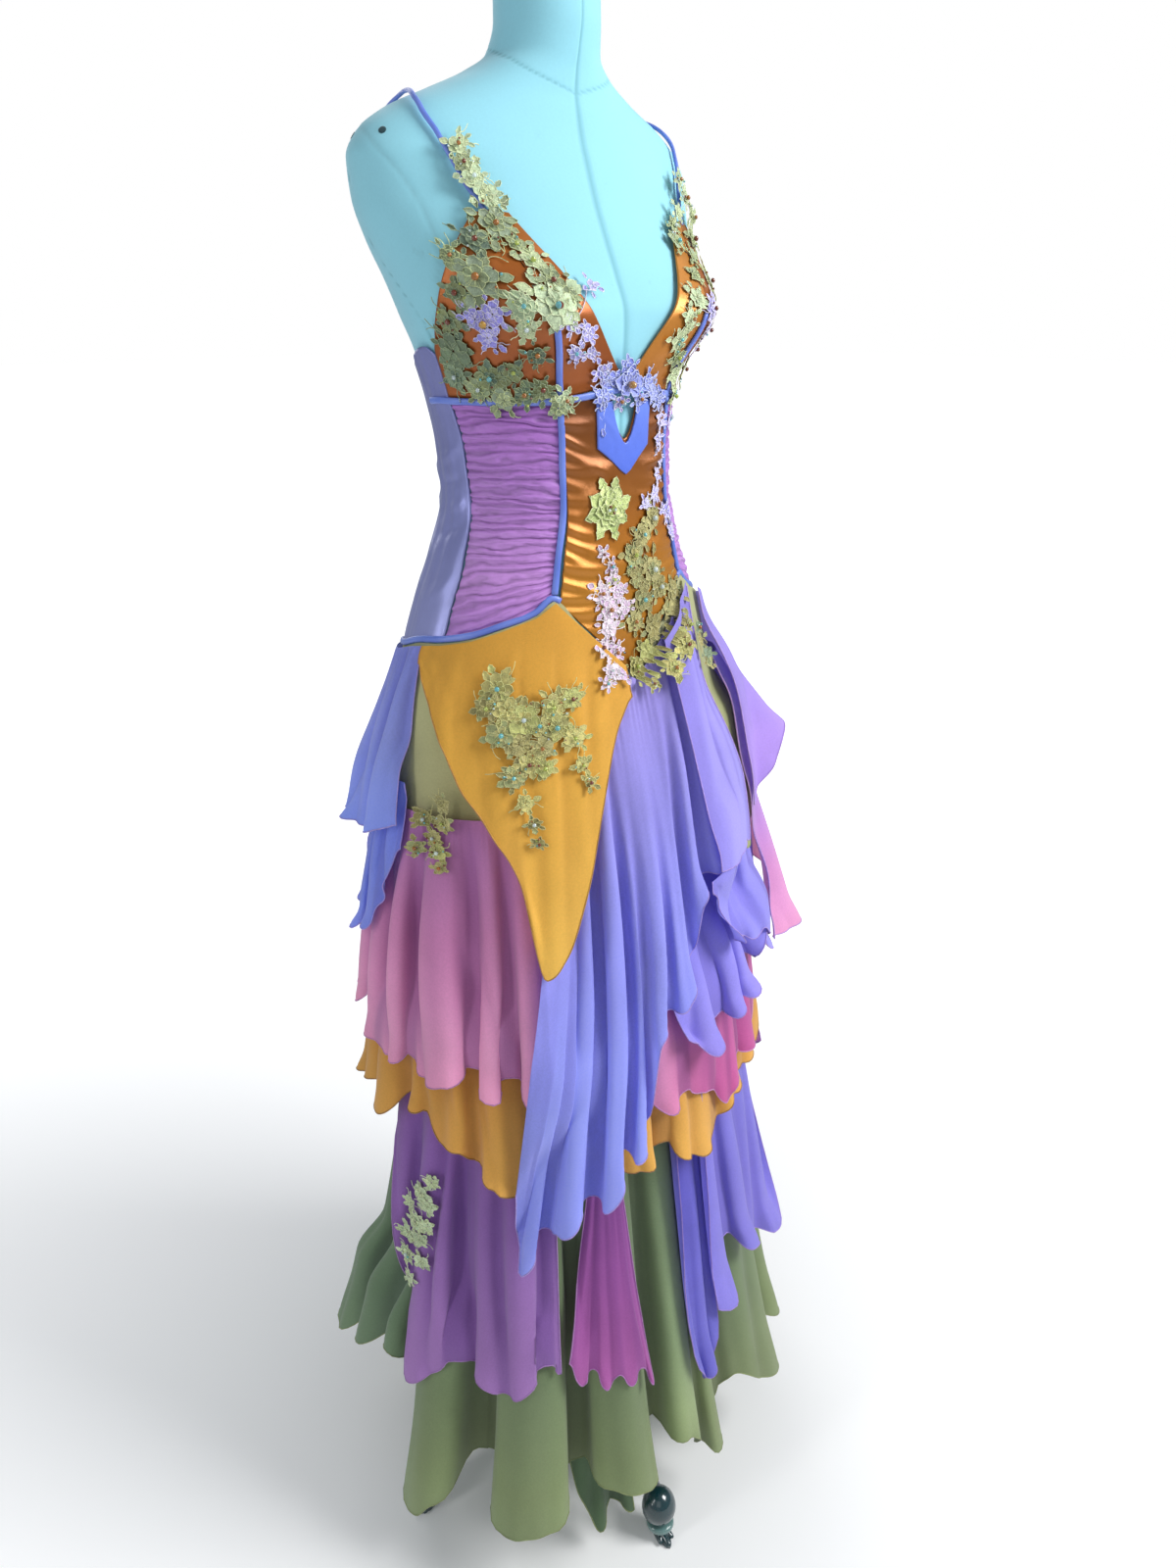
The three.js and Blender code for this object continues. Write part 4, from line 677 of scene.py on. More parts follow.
def make_ruched(side, sign):
    """Gathered silk: some two dozen rounded ruches that sag a little between the seams, wander and run into each other."""
    T, Z = rows_grid(RUCHED, 60, 270, sign)
    Z = Z + (hip(T) + 0.5 - Z[:, -1:]) * smooth((1200 - Z) / 90) ** 2 * np.linspace(0, 1, Z.shape[1]) ** 2
    across = np.linspace(0, 1, T.shape[0])[:, None]
    down = np.linspace(0, 1, T.shape[1])[None]
    sag = np.sin(np.pi * across) * 0.010
    phase = (down + sag + 0.012 * noise(across * 1.6, down * 5.0, 21)) * 25
    phase = phase + 0.75 * noise(across * 2.0, down * 19, 22) + 0.22 * noise(across * 8, down * 60, 26)
    k = phase - np.floor(phase)
    ridge = np.sin(np.pi * k) ** 0.75
    size = 0.62 + 0.5 * noise(across * 2.4, np.floor(phase) * 1.7, 24)
    second = phase * 2.0 + 0.9 * noise(across * 3.0, down * 30, 27) + 0.3
    fine = np.sin(np.pi * (second - np.floor(second))) ** 0.6
    H = CLOTH - 1.6 + 3.4 * ridge * np.clip(size, 0.15, 1.25) + 1.0 * fine * np.clip(0.5 + noise(across * 3, down * 12, 28), 0, 1)
    H = H + 0.35 * noise(across * 22 + down * 14, down * 90, 25)
    # painted shade and light: the colour is darkened in the valleys between ruches and lightened a little on their
    # ridges
    ridge = 0.6 * ridge + 0.4 * fine
    H = H - 0.9 * np.exp(-((np.minimum(across, 1 - across) / 0.02) ** 2))
    colour = blend([(1096, "#ac74c8"), (1150, "#c48ad8"), (1230, "#b67cd0"), (1301, "#a868c2")], Z)
    colour = colour * (0.42 + 0.62 * ridge[..., None])
    panel(f"gown_ruched_{side}", T, Z, H, colour, RUCHED_CLOTH, "orchid_chiffon", f"bodice_ruched_{side}")


for side, sign in (("R", -1), ("L", 1)):
    make_cups(side, sign)
    make_ruched(side, sign)

SIDE_BACK = [(-127.8, 1316), (-117, 1326), (-107, 1336), (-98, 1343), (-90, 1346), (-83.8, 1340)]
BACK = [(-179.8, 1288), (-168, 1292), (-155, 1300), (-142, 1308), (-128.3, 1316)]
EDGE = [(1094, 76.4), (1151, 76.6), (1192, 79.1), (1226, 80.1), (1268, 81.3), (1301.5, 83.4), (1340, 83.6)]
PERI = [(1062, "#a4a8de"), (1180, "#8f93cc"), (1340, "#8488c2")]


def make_sides(side, sign):
    share = np.linspace(0, 1, 40)[:, None]
    down = np.linspace(0, 1, 110)[None]
    t0 = -127.8 + 44 * share
    top = curve([r[0] for r in SIDE_BACK], [r[1] for r in SIDE_BACK], t0)
    Z = top + (hip(-127.8 + 51.4 * share) + 1 - top) * down
    T = -127.8 + (127.8 - line(EDGE, Z)) * share
    lines = [(-84, 1262, -108, 1250, 5, 0.9), (-84, 1236, -110, 1228, 4.5, -0.9), (-83, 1216, -104, 1206, 5, 0.9), (-82, 1196, -112, 1180, 5, -0.8),
             (-84, 1300, -100, 1310, 6, 0.5), (-80, 1150, -104, 1120, 8, 0.7), (-127, 1240, -106, 1226, 5, 0.7), (-127, 1212, -108, 1198, 5, 0.7)]
    H = CLOTH + 2.2 * creases(T, Z, lines) + 0.5 * noise(T / 10, Z / 34, 31) + 1.1 * noise(T / 4.5, Z / 110, 33)
    colour = blend(PERI, Z)
    if sign > 0:
        T, Z, H, colour = -T[::-1], Z[::-1], H[::-1], colour[::-1]
    panel(f"gown_side_{side}", T, Z, H, colour, SATIN_CLOTH, "periwinkle_satin", f"bodice_side_{side}")
    t = np.linspace(-179.8, -128.3, 44)[:, None]
    top = curve([r[0] for r in BACK], [r[1] for r in BACK], t)
    Z = top + (hip(t) + 0.3 - top) * down
    T = t + 0 * Z
    lines = [(-178, 1236, -150, 1228, 5, 0.8), (-178, 1210, -148, 1206, 5, 0.9), (-130, 1224, -150, 1214, 5, 0.8), (-178, 1188, -152, 1178, 6, 0.6)]
    H = CLOTH + creases(T, Z, lines) + 0.3 * noise(T / 10, Z / 34, 33)
    H = H + 1.0 * np.exp(-(((T + 178.0) / 0.9) ** 2))  # the edge of the lapped back opening
    colour = blend(PERI, Z)
    if sign > 0:
        T, Z, H, colour = -T[::-1], Z[::-1], H[::-1], colour[::-1]
    panel(f"gown_back_{side}", T, Z, H, colour, SATIN_CLOTH, "periwinkle_satin", f"bodice_back_{side}")


make_sides("R", -1)
make_sides("L", 1)

KEY = [(-7.2, 1304), (-6.6, 1297), (-5.4, 1286), (-3.4, 1275), (-1.4, 1269), (0, 1267.5), (1.4, 1269), (3.4, 1275), (5.4, 1286), (6.6, 1297), (7.2, 1304)]


def make_front():
    t = np.concatenate([np.linspace(-30.4, -7.4, 36), np.linspace(-7.2, 7.2, 31), np.linspace(7.4, 30.4, 36)])[:, None]
    top = np.where(np.abs(t) < 7.3, np.interp(t, [k[0] for k in KEY], [k[1] for k in KEY]), 1304 - np.abs(np.abs(t) - 8) * 0.1)
    s = np.linspace(0, 1, 131)[None]
    Z = top + (hip(t) + 0.3 - top) * s
    T = t + 0 * Z
    lines = []
    rng = np.random.default_rng(5)
    lines += [(-24, 1206, -4, 1190, 6, 1.2), (-22, 1170, 0, 1150, 7, 1.2), (-16, 1244, -6, 1232, 4, 0.8), (-20, 1136, -4, 1118, 6, 0.9)]
    H = CLOTH + creases(T, Z, lines) + 0.4 * noise(T / 9, Z / 26, 41)
    for way in (-1, 1):  # gathers that start at the princess seams, slant down and die toward the middle
        away = (30.6 - way * T) * 2.1
        z = 1298.0
        while z > 1100:
            z -= rng.uniform(9, 15)
            tall, wide, reach, slant = rng.uniform(1.5, 3.1), rng.uniform(3.0, 5.0), rng.uniform(18, 50), rng.uniform(0.15, 0.6)
            off = Z - z + slant * away - 0.004 * away**2
            H = H + tall * np.exp(-((away / reach) ** 2)) * np.exp(-((off / (wide * (1 + away / 70))) ** 2))
    # painted shade: the bronze darkens toward the top, under the cups
    colour = blend([(1052, "#b87520"), (1130, "#c98526"), (1190, "#b8701e"), (1245, "#94551a"), (1304, "#7c4216")], Z)
    panel("gown_centre_front", T, Z, H, colour, SATIN_CLOTH, "bronze_satin", "bodice_centre_front")
    # pointed tab round the keyhole
    t = np.concatenate([np.linspace(-14.6, -7.3, 14), np.linspace(-7.0, 7.0, 33), np.linspace(7.3, 14.6, 14)])[:, None]
    top = np.where(np.abs(t) < 7.1, np.interp(t, [k[0] for k in KEY], [k[1] - 3.5 for k in KEY]), 1301 - 0 * t)
    low = np.interp(np.abs(t), [0, 3, 8, 13, 14.6], [1237, 1241, 1250.5, 1258.5, 1261])
    Z = top + (low - top) * s[:, ::5]
    T = t + 0 * Z
    H = CLOTH + 2.1 + 0.25 * noise(T / 4, Z / 12, 43) + creases(T, Z, [(-13, 1290, -3, 1262, 3, 0.5), (13, 1290, 3, 1262, 3, 0.5)])
    ob = panel("gown_keyhole_tab", T, Z, H, blend([(1237, "#4f6bd6"), (1301, "#6a84e6")], Z), PIPING_CLOTH, "blue_satin", "bodice_keyhole_tab")
    return ob


make_front()

# ---------------------------------------------------------------- piping and straps
BLUE = [(0, "#5570cc"), (1, "#7d93e4")]


def spline(path, count):
    path = np.array(path, float)
    d = np.concatenate([[0], np.cumsum(np.hypot(np.diff(path[:, 0]) * 2, np.diff(path[:, 1])))])
    q = np.linspace(0, d[-1], count)
    out = []
    for c in range(path.shape[1]):
        y = path[:, c]
        m = np.gradient(y, d)
        i = np.clip(np.searchsorted(d, q, side="right") - 1, 0, len(d) - 2)
        h = (d[i + 1] - d[i])
        s = (q - d[i]) / h
        out.append((2 * s**3 - 3 * s**2 + 1) * y[i] + (s**3 - 2 * s**2 + s) * h * m[i] + (-2 * s**3 + 3 * s**2) * y[i + 1] + (s**3 - s**2) * h * m[i + 1])
    return np.stack(out, -1)


def cord(name, path, node_name, lift, wide=3.1, count=0, flat=0.62, twist=0.0):
    p = spline(path, count or 8 * len(path))
    n = normal(p[:, 0], p[:, 1], 0.5)
    base = place(p[:, 0], p[:, 1], 0.001)
    centre = base + n * lift / 1000
    mesh = Mesh()
    r = wide * (1 + 0.05 * noise(np.arange(len(p)) / 3.0, 0, 51)) / 1000
    mesh.tube(centre, n, r, 12, blend(BLUE, 0.5 + 0.5 * noise(np.arange(len(p)) / 9.0, 1, 52)).repeat(12, 0), flat=flat)
    return mesh.object(name, [PIPING_CLOTH], "blue_satin", [node_name])


UNDERBUST = [(-98, 1302), (-90, 1303), (-80, 1303), (-70, 1303), (-60, 1303), (-50, 1303), (-40, 1303), (-30, 1303.4), (-20, 1306), (-9, 1309.5)]
flip = lambda rows: [(-t, z) for t, z in reversed(rows)]
cord("gown_piping_underbust", UNDERBUST + [(0, 1310.5)] + flip(UNDERBUST), "piping_underbust", CLOTH + 1.5)
CUP_SEAM = [(-32, 1372), (-31.2, 1354), (-30.6, 1330), (-30.2, 1305.5)]
PRINCESS = [(-30.6, 1300.8), (-30.9, 1278), (-31.6, 1245), (-32.5, 1202), (-33, 1165), (-32.9, 1136)]
HIP_CORD = [(-30.4, 1130), (-33.4, 1133), (-39, 1122), (-52, 1110), (-63, 1101), (-76, 1095), (-90, 1090.6), (-107, 1080), (-120, 1075)]
STRAP = [
    (-38.5, 1446), (-39.5, 1456), (-41.5, 1465), (-43.7, 1481), (-45.8, 1493), (-49.8, 1505), (-60.8, 1521), (-78, 1533), (-96.4, 1537),
    (-115, 1534), (-128, 1522), (-137, 1500), (-142, 1465), (-145, 1420), (-147, 1370), (-147, 1312),
]
for side, sign in (("R", 1), ("L", -1)):
    turn = lambda rows: [(sign * t, z) for t, z in rows]
    cord(f"gown_piping_cup_{side}", turn(CUP_SEAM), f"piping_cup_{side}", CLOTH + 1.5)
    cord(f"gown_piping_princess_{side}", turn(PRINCESS), f"piping_princess_{side}", CLOTH + 1.5)
    cord(f"gown_piping_hip_{side}", turn(HIP_CORD), f"piping_hip_{side}", CLOTH + 1.5)
    cord(f"gown_strap_{side}", turn(STRAP), f"strap_{side}", 3.8, 2.2, count=150, flat=0.8)

# ---------------------------------------------------------------- skirt
CELL = 6.0
cover = np.full((360, 290), -60.0)


def spread(field, down=2.6, aside=2.2):
    """The field with every edge sloped away, so that the next layer leans over it softly."""
    f = field.copy()
    for _ in range(14):
        f = np.maximum(f, np.maximum(np.roll(f, 1, 0), np.roll(f, -1, 0)) - aside)
        f[:, :-1] = np.maximum(f[:, :-1], f[:, 1:] - down)
        f[:, 1:] = np.maximum(f[:, 1:], f[:, :-1] - down * 1.4)
    f = np.maximum(f, -5)
    for _ in range(2):
        f = (np.roll(f, 1, 0) + 2 * f + np.roll(f, -1, 0)) / 4
        g = np.pad(f, ((0, 0), (1, 1)), mode="edge")
        f = (g[:, :-2] + 2 * g[:, 1:-1] + g[:, 2:]) / 4
    return f


def lookup(field, t, z):
    u = (np.asarray(t) + 180) % 360
    v = np.clip(np.asarray(z) / CELL, 0, field.shape[1] - 1.001)
    i, j = np.floor(u).astype(int), np.floor(v).astype(int)
    p, q = u - i, v - j
    i0, i1 = i % 360, (i + 1) % 360
    return (field[i0, j] * (1 - p) + field[i1, j] * p) * (1 - q) + (field[i0, j + 1] * (1 - p) + field[i1, j + 1] * p) * q


def lay(t, z, h):
    """Marks the space that a layer takes."""
    new = np.full(cover.shape, -60.0)
    i = np.round(np.asarray(t) + 180).astype(int) % 360
    j = np.clip(np.round(np.asarray(z) / CELL).astype(int), 0, cover.shape[1] - 1)
    np.maximum.at(new, (i.ravel(), j.ravel()), h.ravel())
    grown = new.copy()
    for a in (-1, 0, 1):
        for b in (-1, 0, 1):
            grown = np.maximum(grown, np.roll(np.roll(new, a, 0), b, 1))
    np.maximum(cover, grown, out=cover)


ROUND_FOLDS = [(58, 0, -16), (68, 1, 12), (80, 0, -16), (92, 1, 12), (104, 0, -14), (116, 1, 14), (128, 0, -16), (140, 1, 12), (152, 0, -14), (164, 1, 12), (176, 0, -16), (188, 1, 12), (200, 0, -14), (212, 1, 14), (224, 0, -14)]


def around(rows, z, out, dip):
    """The hem table of a layer that goes all the way round: the seen part, then plain folds."""
    back = [(t - 360 if t > 180 else t, z - crest * dip, out + more) for t, crest, more in ROUND_FOLDS]
    return sorted(list(rows) + back)


def ring(rows, t, c):
    if len(rows) == 1:
        return np.full(np.shape(t), float(rows[0][c]))
    rows = [(rows[-1][0] - 360,) + tuple(rows[-1][1:])] + list(rows) + [(rows[0][0] + 360,) + tuple(rows[0][1:])]
    return curve([r[0] for r in rows], [r[c] for r in rows], wrap(t))


HIP_TOP = lambda drop: [(t, z - drop) for t, z in HIP]
LAYERS = {
    "skirt_yoke": dict(
        slot="sage_chiffon", dye=[(926, "#c3bf8c"), (1060, "#cccb98")], top=HIP_TOP(1.5), hem=[(0, 926, 9)],
        lift=4.2, grow=1, folds=[(20, 0.6)], seam=False, curl=0, step=1.5, rows=24),
    "underskirt_inner": dict(
        slot="sage_chiffon", dye=[(30, "#5a7053"), (420, "#566e58")], span=(-50, -20), top=[(0, 420)],
        hem=[(-50, 160, 22), (-45, 148, 24), (-40, 150, 22), (-35, 90, 30), (-30, 34, 30), (-25, 52, 24), (-20, 42, 30)],
        lift=8, grow=1, folds=[(5, 4)], seam=False, rows=60),
    "underskirt": dict(
        slot="sage_chiffon", dye=[(60, "#8f9b74"), (160, "#86936a"), (300, "#7a8b68"), (900, "#6a7d62")], top=[(0, 925.4)],
        hem=around([(-125, 215, 62), (-118, 190, 90), (-110, 225, 52), (-104, 228, 72), (-96, 255, 50), (-90, 272, 66), (-85, 215, 44),
            (-80, 86, 74), (-75, 92, 84), (-70, 118, 78), (-65, 134, 42), (-60, 130, 40), (-55, 108, 74), (-48, 114, 88), (-42, 118, 80),
            (-36, 142, 44), (-30, 146, 66), (-24, 144, 76), (-18, 128, 66), (-14, 166, 44), (-8, 166, 66), (-3, 150, 62), (2, 96, 46),
            (6, 84, 58), (11, 120, 44), (16, 160, 54), (24, 128, 74), (33, 104, 78), (41, 140, 50), (49, 118, 76)], 150, 62, 30),
        lift=8, grow=1.5, folds=[(16, 3)], seam=True, rows=76, step=0.8, start=0.35, dye2=([(60, "#7d9074"), (300, "#70866c"), (900, "#627860")], -74, -92), tuck=((300, 24, -181, -42), (300, 24, 60, 181)), flute=1.0, ruffle=0.6),
    "skirt_violet_tier": dict(
        slot="violet_chiffon", dye=[(260, "#aa7cc2"), (480, "#9267b2"), (700, "#7a509e")], span=(-310, -40), top=[(0, 700)],
        hem=sorted([(-156, 560, 34), (-149, 600, 26), (-135, 604, 24), (-125, 604, 24), (-110, 604, 24), (-101, 596, 26), (-95, 520, 36), (-90, 400, 48), (-87, 345, 46), (-84, 330, 50), (-80, 264, 62),
            (-75, 276, 66), (-70, 294, 46), (-65, 300, 44), (-60, 292, 56), (-52, 286, 70), (-47, 302, 60), (-44, 316, 48), (-40, 310, 58),
            (-30, 310, 50), (0, 310, 50), (40, 310, 50)] + [(t - 360 if t > 180 else t, 335 - c * 25, 60 + m) for t, c, m in ROUND_FOLDS if t < 203]),
        lift=22, grow=1, folds=[(22, 9)], seam=True, rows=58, step=0.8, tuck=((610, 14, -181, 181), (530, 14, -52, 60)), ruffle=1.0, flute=1.2, fold_shade=0.26),
    "skirt_plum_gather": dict(
        slot="plum_chiffon", dye=[(260, "#b662ac"), (400, "#a256a6"), (600, "#864898")], span=(-38, -16.5), pinch=(-24, 0.26), top=[(0, 600)],
        hem=[(-38, 318, 46), (-35, 288, 58), (-32, 300, 50), (-29, 284, 62), (-26, 294, 54), (-23, 280, 64), (-20, 290, 54), (-17, 270, 62), (-15, 282, 52)],
        lift=30, grow=1, folds=[(7, 7)], seam=True, rows=70, step=0.3, start=0.0, flute=0.5),
    "skirt_blue_tail": dict(
        slot="blue_chiffon", dye=[(220, "#7a74dc"), (730, "#6a63cc")], span=(-5, 10), top=[(0, 730)],
        hem=[(-5, 300, 50), (0, 222, 58), (5, 232, 58), (10, 300, 50)], lift=22, grow=1, folds=[(3, 5)], seam=True, rows=70, step=0.4, taper=(2.5, 2.5), ruffle=1.5),
    "skirt_blue_panel": dict(
        slot="blue_chiffon", dye=[(300, "#9488ea"), (520, "#8880e4"), (740, "#766ed8")], span=(5, 50), top=[(0, 740)],
        hem=[(5, 318, 54), (11, 302, 64), (15, 362, 52), (22, 350, 66), (30, 330, 58), (40, 305, 74), (50, 330, 60)],
        lift=26, grow=1, folds=[(4, 7)], seam=True, rows=80, step=0.5, taper=(2.5, 7), ruffle=1.5),
    "skirt_mauve_tail": dict(
        slot="pink_chiffon", dye=[(520, "#d98cc8"), (780, "#9d7ad8")], span=(50, 77.75), top=[(0, 780)],
        hem=[(50, 560, 50), (59.25, 522, 62), (68.5, 530, 56), (77.75, 560, 48)], lift=30, grow=1, folds=[(4, 5)], seam=True, rows=50, step=0.6, taper=(4, 7), ruffle=1.5),
    "skirt_marigold_tier": dict(
        slot="marigold_chiffon", dye=[(530, "#eeb258"), (640, "#d89c4c"), (790, "#a87638")], top=[(0, 790)],
        hem=around([(-125, 575, 48), (-116, 575, 56), (-105, 590, 46), (-95, 584, 56), (-85, 612, 44), (-78, 614, 52), (-72, 582, 50),
            (-66, 588, 62), (-62, 560, 50), (-55, 552, 66), (-50, 540, 54), (-45, 560, 50), (-35, 570, 58), (-28, 552, 54), (-22, 540, 66),
            (-14, 545, 56), (-8, 556, 46), (-2, 538, 62), (4, 532, 58), (12, 540, 46), (20, 560, 58), (32, 555, 46), (44, 565, 58)], 585, 52, 20),
        lift=26, grow=0.9, folds=[(32, 5)], seam=True, rows=40, step=0.8, tuck=((680, 14, -181, 181), (400, 16, -42, -16)), ruffle=0.9, fold_shade=0.24),
    "skirt_pink_tier": dict(
        slot="pink_chiffon", dye=[(600, "#e69cc6"), (700, "#e29ac8"), (820, "#d488be"), (925, "#c280be")], top=[(0, 931)],
        hem=around([(-125, 690, 42), (-118, 672, 56), (-110, 690, 38), (-103, 664, 54), (-95, 662, 40), (-88, 664, 56), (-82, 668, 40),
            (-76, 660, 58), (-67, 672, 60), (-60, 676, 38), (-54, 662, 58), (-50, 672, 40), (-44, 655, 60), (-36, 660, 46), (-28, 650, 56),
            (-18, 640, 46), (-8, 604, 56), (-3, 612, 44), (3, 604, 58), (9, 590, 46), (15, 566, 58), (24, 600, 46), (34, 600, 58), (44, 620, 46)], 680, 50, 18),
        lift=10.6, grow=0.75, dye2=([(560, "#c45c9e"), (700, "#b65a9c"), (925, "#9c5a9c")], -20, 8), folds=[(28, 8)], seam=True, rows=58, step=0.8, flute=1.0, ruffle=0.9, tuck=((400, 16, -38, -16), (760, 14, -17, 60)), fold_shade=0.30),
    "flounce_hip_L_3": dict(
        slot="blue_chiffon", dye=[(670, "#9c92f0"), (850, "#8b84e6")], span=(-5, 35), top=[(-5, 730), (0, 745), (4, 800), (8, 840), (14, 850), (35, 850)],
        hem=[(-5, 700, 58), (3, 668, 74), (10, 676, 62), (18, 700, 76), (27, 722, 62), (35, 730, 76)], lift=34, grow=1, folds=[(5, 8)], seam=True, rows=50, step=0.5, taper=(2, 6), ruffle=1.4, tuck=((770, 14, -20, 60),), straight=True),
    "cascade_front": dict(
        slot="blue_chiffon", dye=[(460, "#9da6ff"), (640, "#9aa2fb"), (850, "#9c9bf4"), (1050, "#a79aea")], span=(-50, 20),
        top=[(-50, 548), (-45, 700), (-40, 812), (-35, 850), (-27, 905), (-20, 980), (-14, 1040), (-7, 1060), (0, 1046), (10, 1072), (20, 1098)],
        hem=[(-50, 462, 74), (-44, 492, 70), (-39, 506, 68), (-34, 524, 72), (-29, 530, 74), (-24, 566, 70), (-19, 582, 74), (-16, 604, 70), (-13, 700, 68), (-9, 720, 70), (-5, 730, 70), (-1, 748, 66), (2, 770, 62), (5, 826, 60), (9, 844, 62), (14, 850, 64), (20, 856, 60)],
        lift=8, grow=0.9, folds=[(8, 12), (15, 1.5)], seam=True, rows=90, step=0.4, straight=True, slope=(6.0, 0.5), ruffle=1.2, flute=0.0),
    "flounce_hip_L_2": dict(
        slot="blue_chiffon", dye=[(676, "#a29cf4"), (960, "#9088e8")], span=(8, 77.75), top=[(8, 846), (12, 852), (16, 866), (22, 905), (30, 945), (40, 960), (77.75, 960)],
        hem=[(8, 826, 50), (12, 800, 62), (16, 770, 70), (22, 754, 58), (28, 756, 70), (34, 742, 58), (42, 712, 64), (50, 690, 56), (59.25, 690, 60), (68.5, 690, 66), (77.75, 730, 60)],
        lift=34, grow=0.9, folds=[(7, 11)], seam=True, rows=50, step=0.5, taper=(0, 10), ruffle=1.6, tuck=((850, 10, 14, 45),), straight=True, flute=0.5),
    "skirt_yellow_tail": dict(
        slot="yellow_chiffon", dye=[(712, "#d9a03c"), (960, "#c98f34")], span=(77.75, 114.75), top=[(0, 960)],
        hem=[(77.75, 760, 66), (87, 712, 84), (96.25, 740, 68), (105.5, 800, 74), (114.75, 860, 56)], lift=24, grow=1, folds=[(4, 5)], seam=True, rows=50, step=0.7, taper=(8, 12), ruffle=1.5),
    "sage_strip": dict(
        slot="sage_chiffon", dye=[(840, "#a9ac78"), (1090, "#bdc08c")], span=(27, 60), top=HIP_TOP(4),
        hem=[(27, 850, 20), (32, 846, 32), (38, 850, 40), (44, 846, 46), (50, 850, 44), (55, 860, 34), (60, 880, 24)], lift=6, grow=1, folds=[(4, 6)], seam=False, rows=50,
        step=0.6, straight=True, bare=True, flute=0.0, sway=0.5),
    "flounce_back_L_2": dict(
        slot="pink_chiffon", dye=[(704, "#e29ac8"), (780, "#e09ad4"), (880, "#b893e6"), (1040, "#a092ea")], span=(43, 105.5), top=[(0, 1040)],
        hem=[(43, 708, 30), (48, 706, 70), (52, 704, 98), (57, 704, 114), (62, 716, 104), (68.5, 735, 104), (77.75, 722, 116), (87, 750, 92), (96.25, 800, 90), (105.5, 850, 66)],
        lift=16, grow=1.1, folds=[(4, 5)], seam=True, rows=64, step=0.6, taper=(0, 16), ruffle=1.0, flute=0.0),
    "flounce_back_R_2": dict(
        slot="blue_chiffon", dye=[(750, "#8c9cfa"), (960, "#828ff0")], span=(-152.75, -85), top=[(0, 960)],
        hem=[(-152.75, 860, 50), (-143.5, 830, 56), (-134.25, 796, 44), (-125, 780, 46), (-118, 786, 34), (-112, 780, 44), (-106, 794, 34), (-100, 798, 42), (-95, 824, 32), (-90, 860, 28), (-85, 892, 22)],
        lift=20, grow=1, folds=[(7, 8)], seam=True, rows=50, step=0.6, taper=(14, 0), ruffle=1.1, flute=0.4, sway=1.5),
    "flounce_hip_L_1": dict(
        slot="blue_chiffon", dye=[(850, "#a79df2"), (1133, "#9d90ea")], span=(11, 31), top=HIP_TOP(3),
        hem=[(11, 850, 10), (14, 850, 16), (17, 852, 36), (20, 858, 60), (24, 868, 54), (28, 862, 38), (31, 852, 24)],
        lift=9, grow=1, folds=[(3, 9)], seam=True, rows=64, step=0.5, straight=True, taper=(0, 0), ruffle=1.1, slope=(3.0, 1.0), flute=0.0),
    "flounce_back_L_1": dict(
        slot="blue_chiffon", dye=[(940, "#b898ec"), (1090, "#a092ea")], span=(43, 96.25), top=HIP_TOP(3),
        hem=[(43, 872, 26), (48, 884, 54), (53, 912, 78), (60, 950, 92), (65, 960, 80), (72, 976, 66), (84, 940, 86), (96.25, 1000, 60)],
        lift=14, grow=1.5, folds=[(3, 3)], seam=True, rows=44, step=0.6, straight=True, taper=(0, 14), ruffle=1.0, flute=0.0),
    "flounce_back_R_1": dict(
        slot="blue_chiffon", dye=[(892, "#98abff"), (1000, "#9ba4f2"), (1090, "#8d94ea")], span=(-152.75, -86), top=HIP_TOP(3),
        hem=[(-152.75, 950, 40), (-143.5, 925, 52), (-134.25, 930, 46), (-125, 908, 52), (-118, 914, 46), (-112, 906, 58), (-106, 904, 40), (-99, 904, 46), (-92, 912, 30), (-86, 918, 22)],
        lift=9, grow=1.1, folds=[(5, 8)], seam=True, rows=60, step=0.5, straight=True, taper=(12, 0), ruffle=0.8, flute=0.3, sway=0.8),
    "skirt_yellow_point": dict(
        slot="yellow_chiffon", dye=[(790, "#f4c056"), (950, "#f0b64c"), (1130, "#e9aa44")], span=(-85, -5), top=HIP_TOP(2.5),
        hem=[(-85, 1074, 12), (-80, 1058, 16), (-75, 1040, 20), (-67, 1006, 28), (-60, 970, 34), (-50, 922, 44), (-45, 886, 50), (-40, 792, 64),
            (-35, 806, 62), (-30, 842, 54), (-25, 888, 48), (-20, 940, 38), (-15, 986, 28), (-10, 1016, 20), (-5, 1034, 16)],
        lift=6.5, grow=1, folds=[(6, 1.5), (11, 0.5)], seam=False, rows=60, step=0.6, straight=True, curl=0, flute=0.0),
}
GAP = 2.4
EDGE_COLOUR = {"yellow": "#b9853f", "marigold": "#a8783c", "sage": "#8f9a66"}


def flutes(U, S, fall, first, width, count, deep, slope, closed, rng):
    """Rounded flutes side by side, with narrow valleys between them: uneven in width, depth and start."""
    valley = np.arange(count + 1) + rng.uniform(-0.30, 0.30, count + 1)
    valley[-1] = valley[0] + count if closed else count
    valley[0] = valley[0] if closed else 0
    valley = first + valley * width / count
    middle = (valley[1:] + valley[:-1]) / 2
    size = deep * rng.uniform(0.5, 1.3, count)
    start = rng.uniform(-0.35, 0.30, count)
    share = (U - first) / width
    V = U - (slope[0] + (slope[1] - slope[0]) * share) * fall / 100 - 0.18 * width / count * np.sin(4.5 * S + 9 * share)
    if closed:
        V = (V - valley[0]) % width + valley[0]
        size, start = np.interp(V, middle, size, period=width), np.interp(V, middle, start, period=width)
    else:
        size, start = np.interp(V, middle, size), np.interp(V, middle, start)
    k = np.clip(np.searchsorted(valley, V, "right") - 1, 0, count - 1)
    x = np.clip((V - valley[k]) / (valley[k + 1] - valley[k]), 0, 1)
    return size * smooth((S - start) / 0.65) * (2 * np.sin(np.pi * x) ** 0.8 - 1.15)


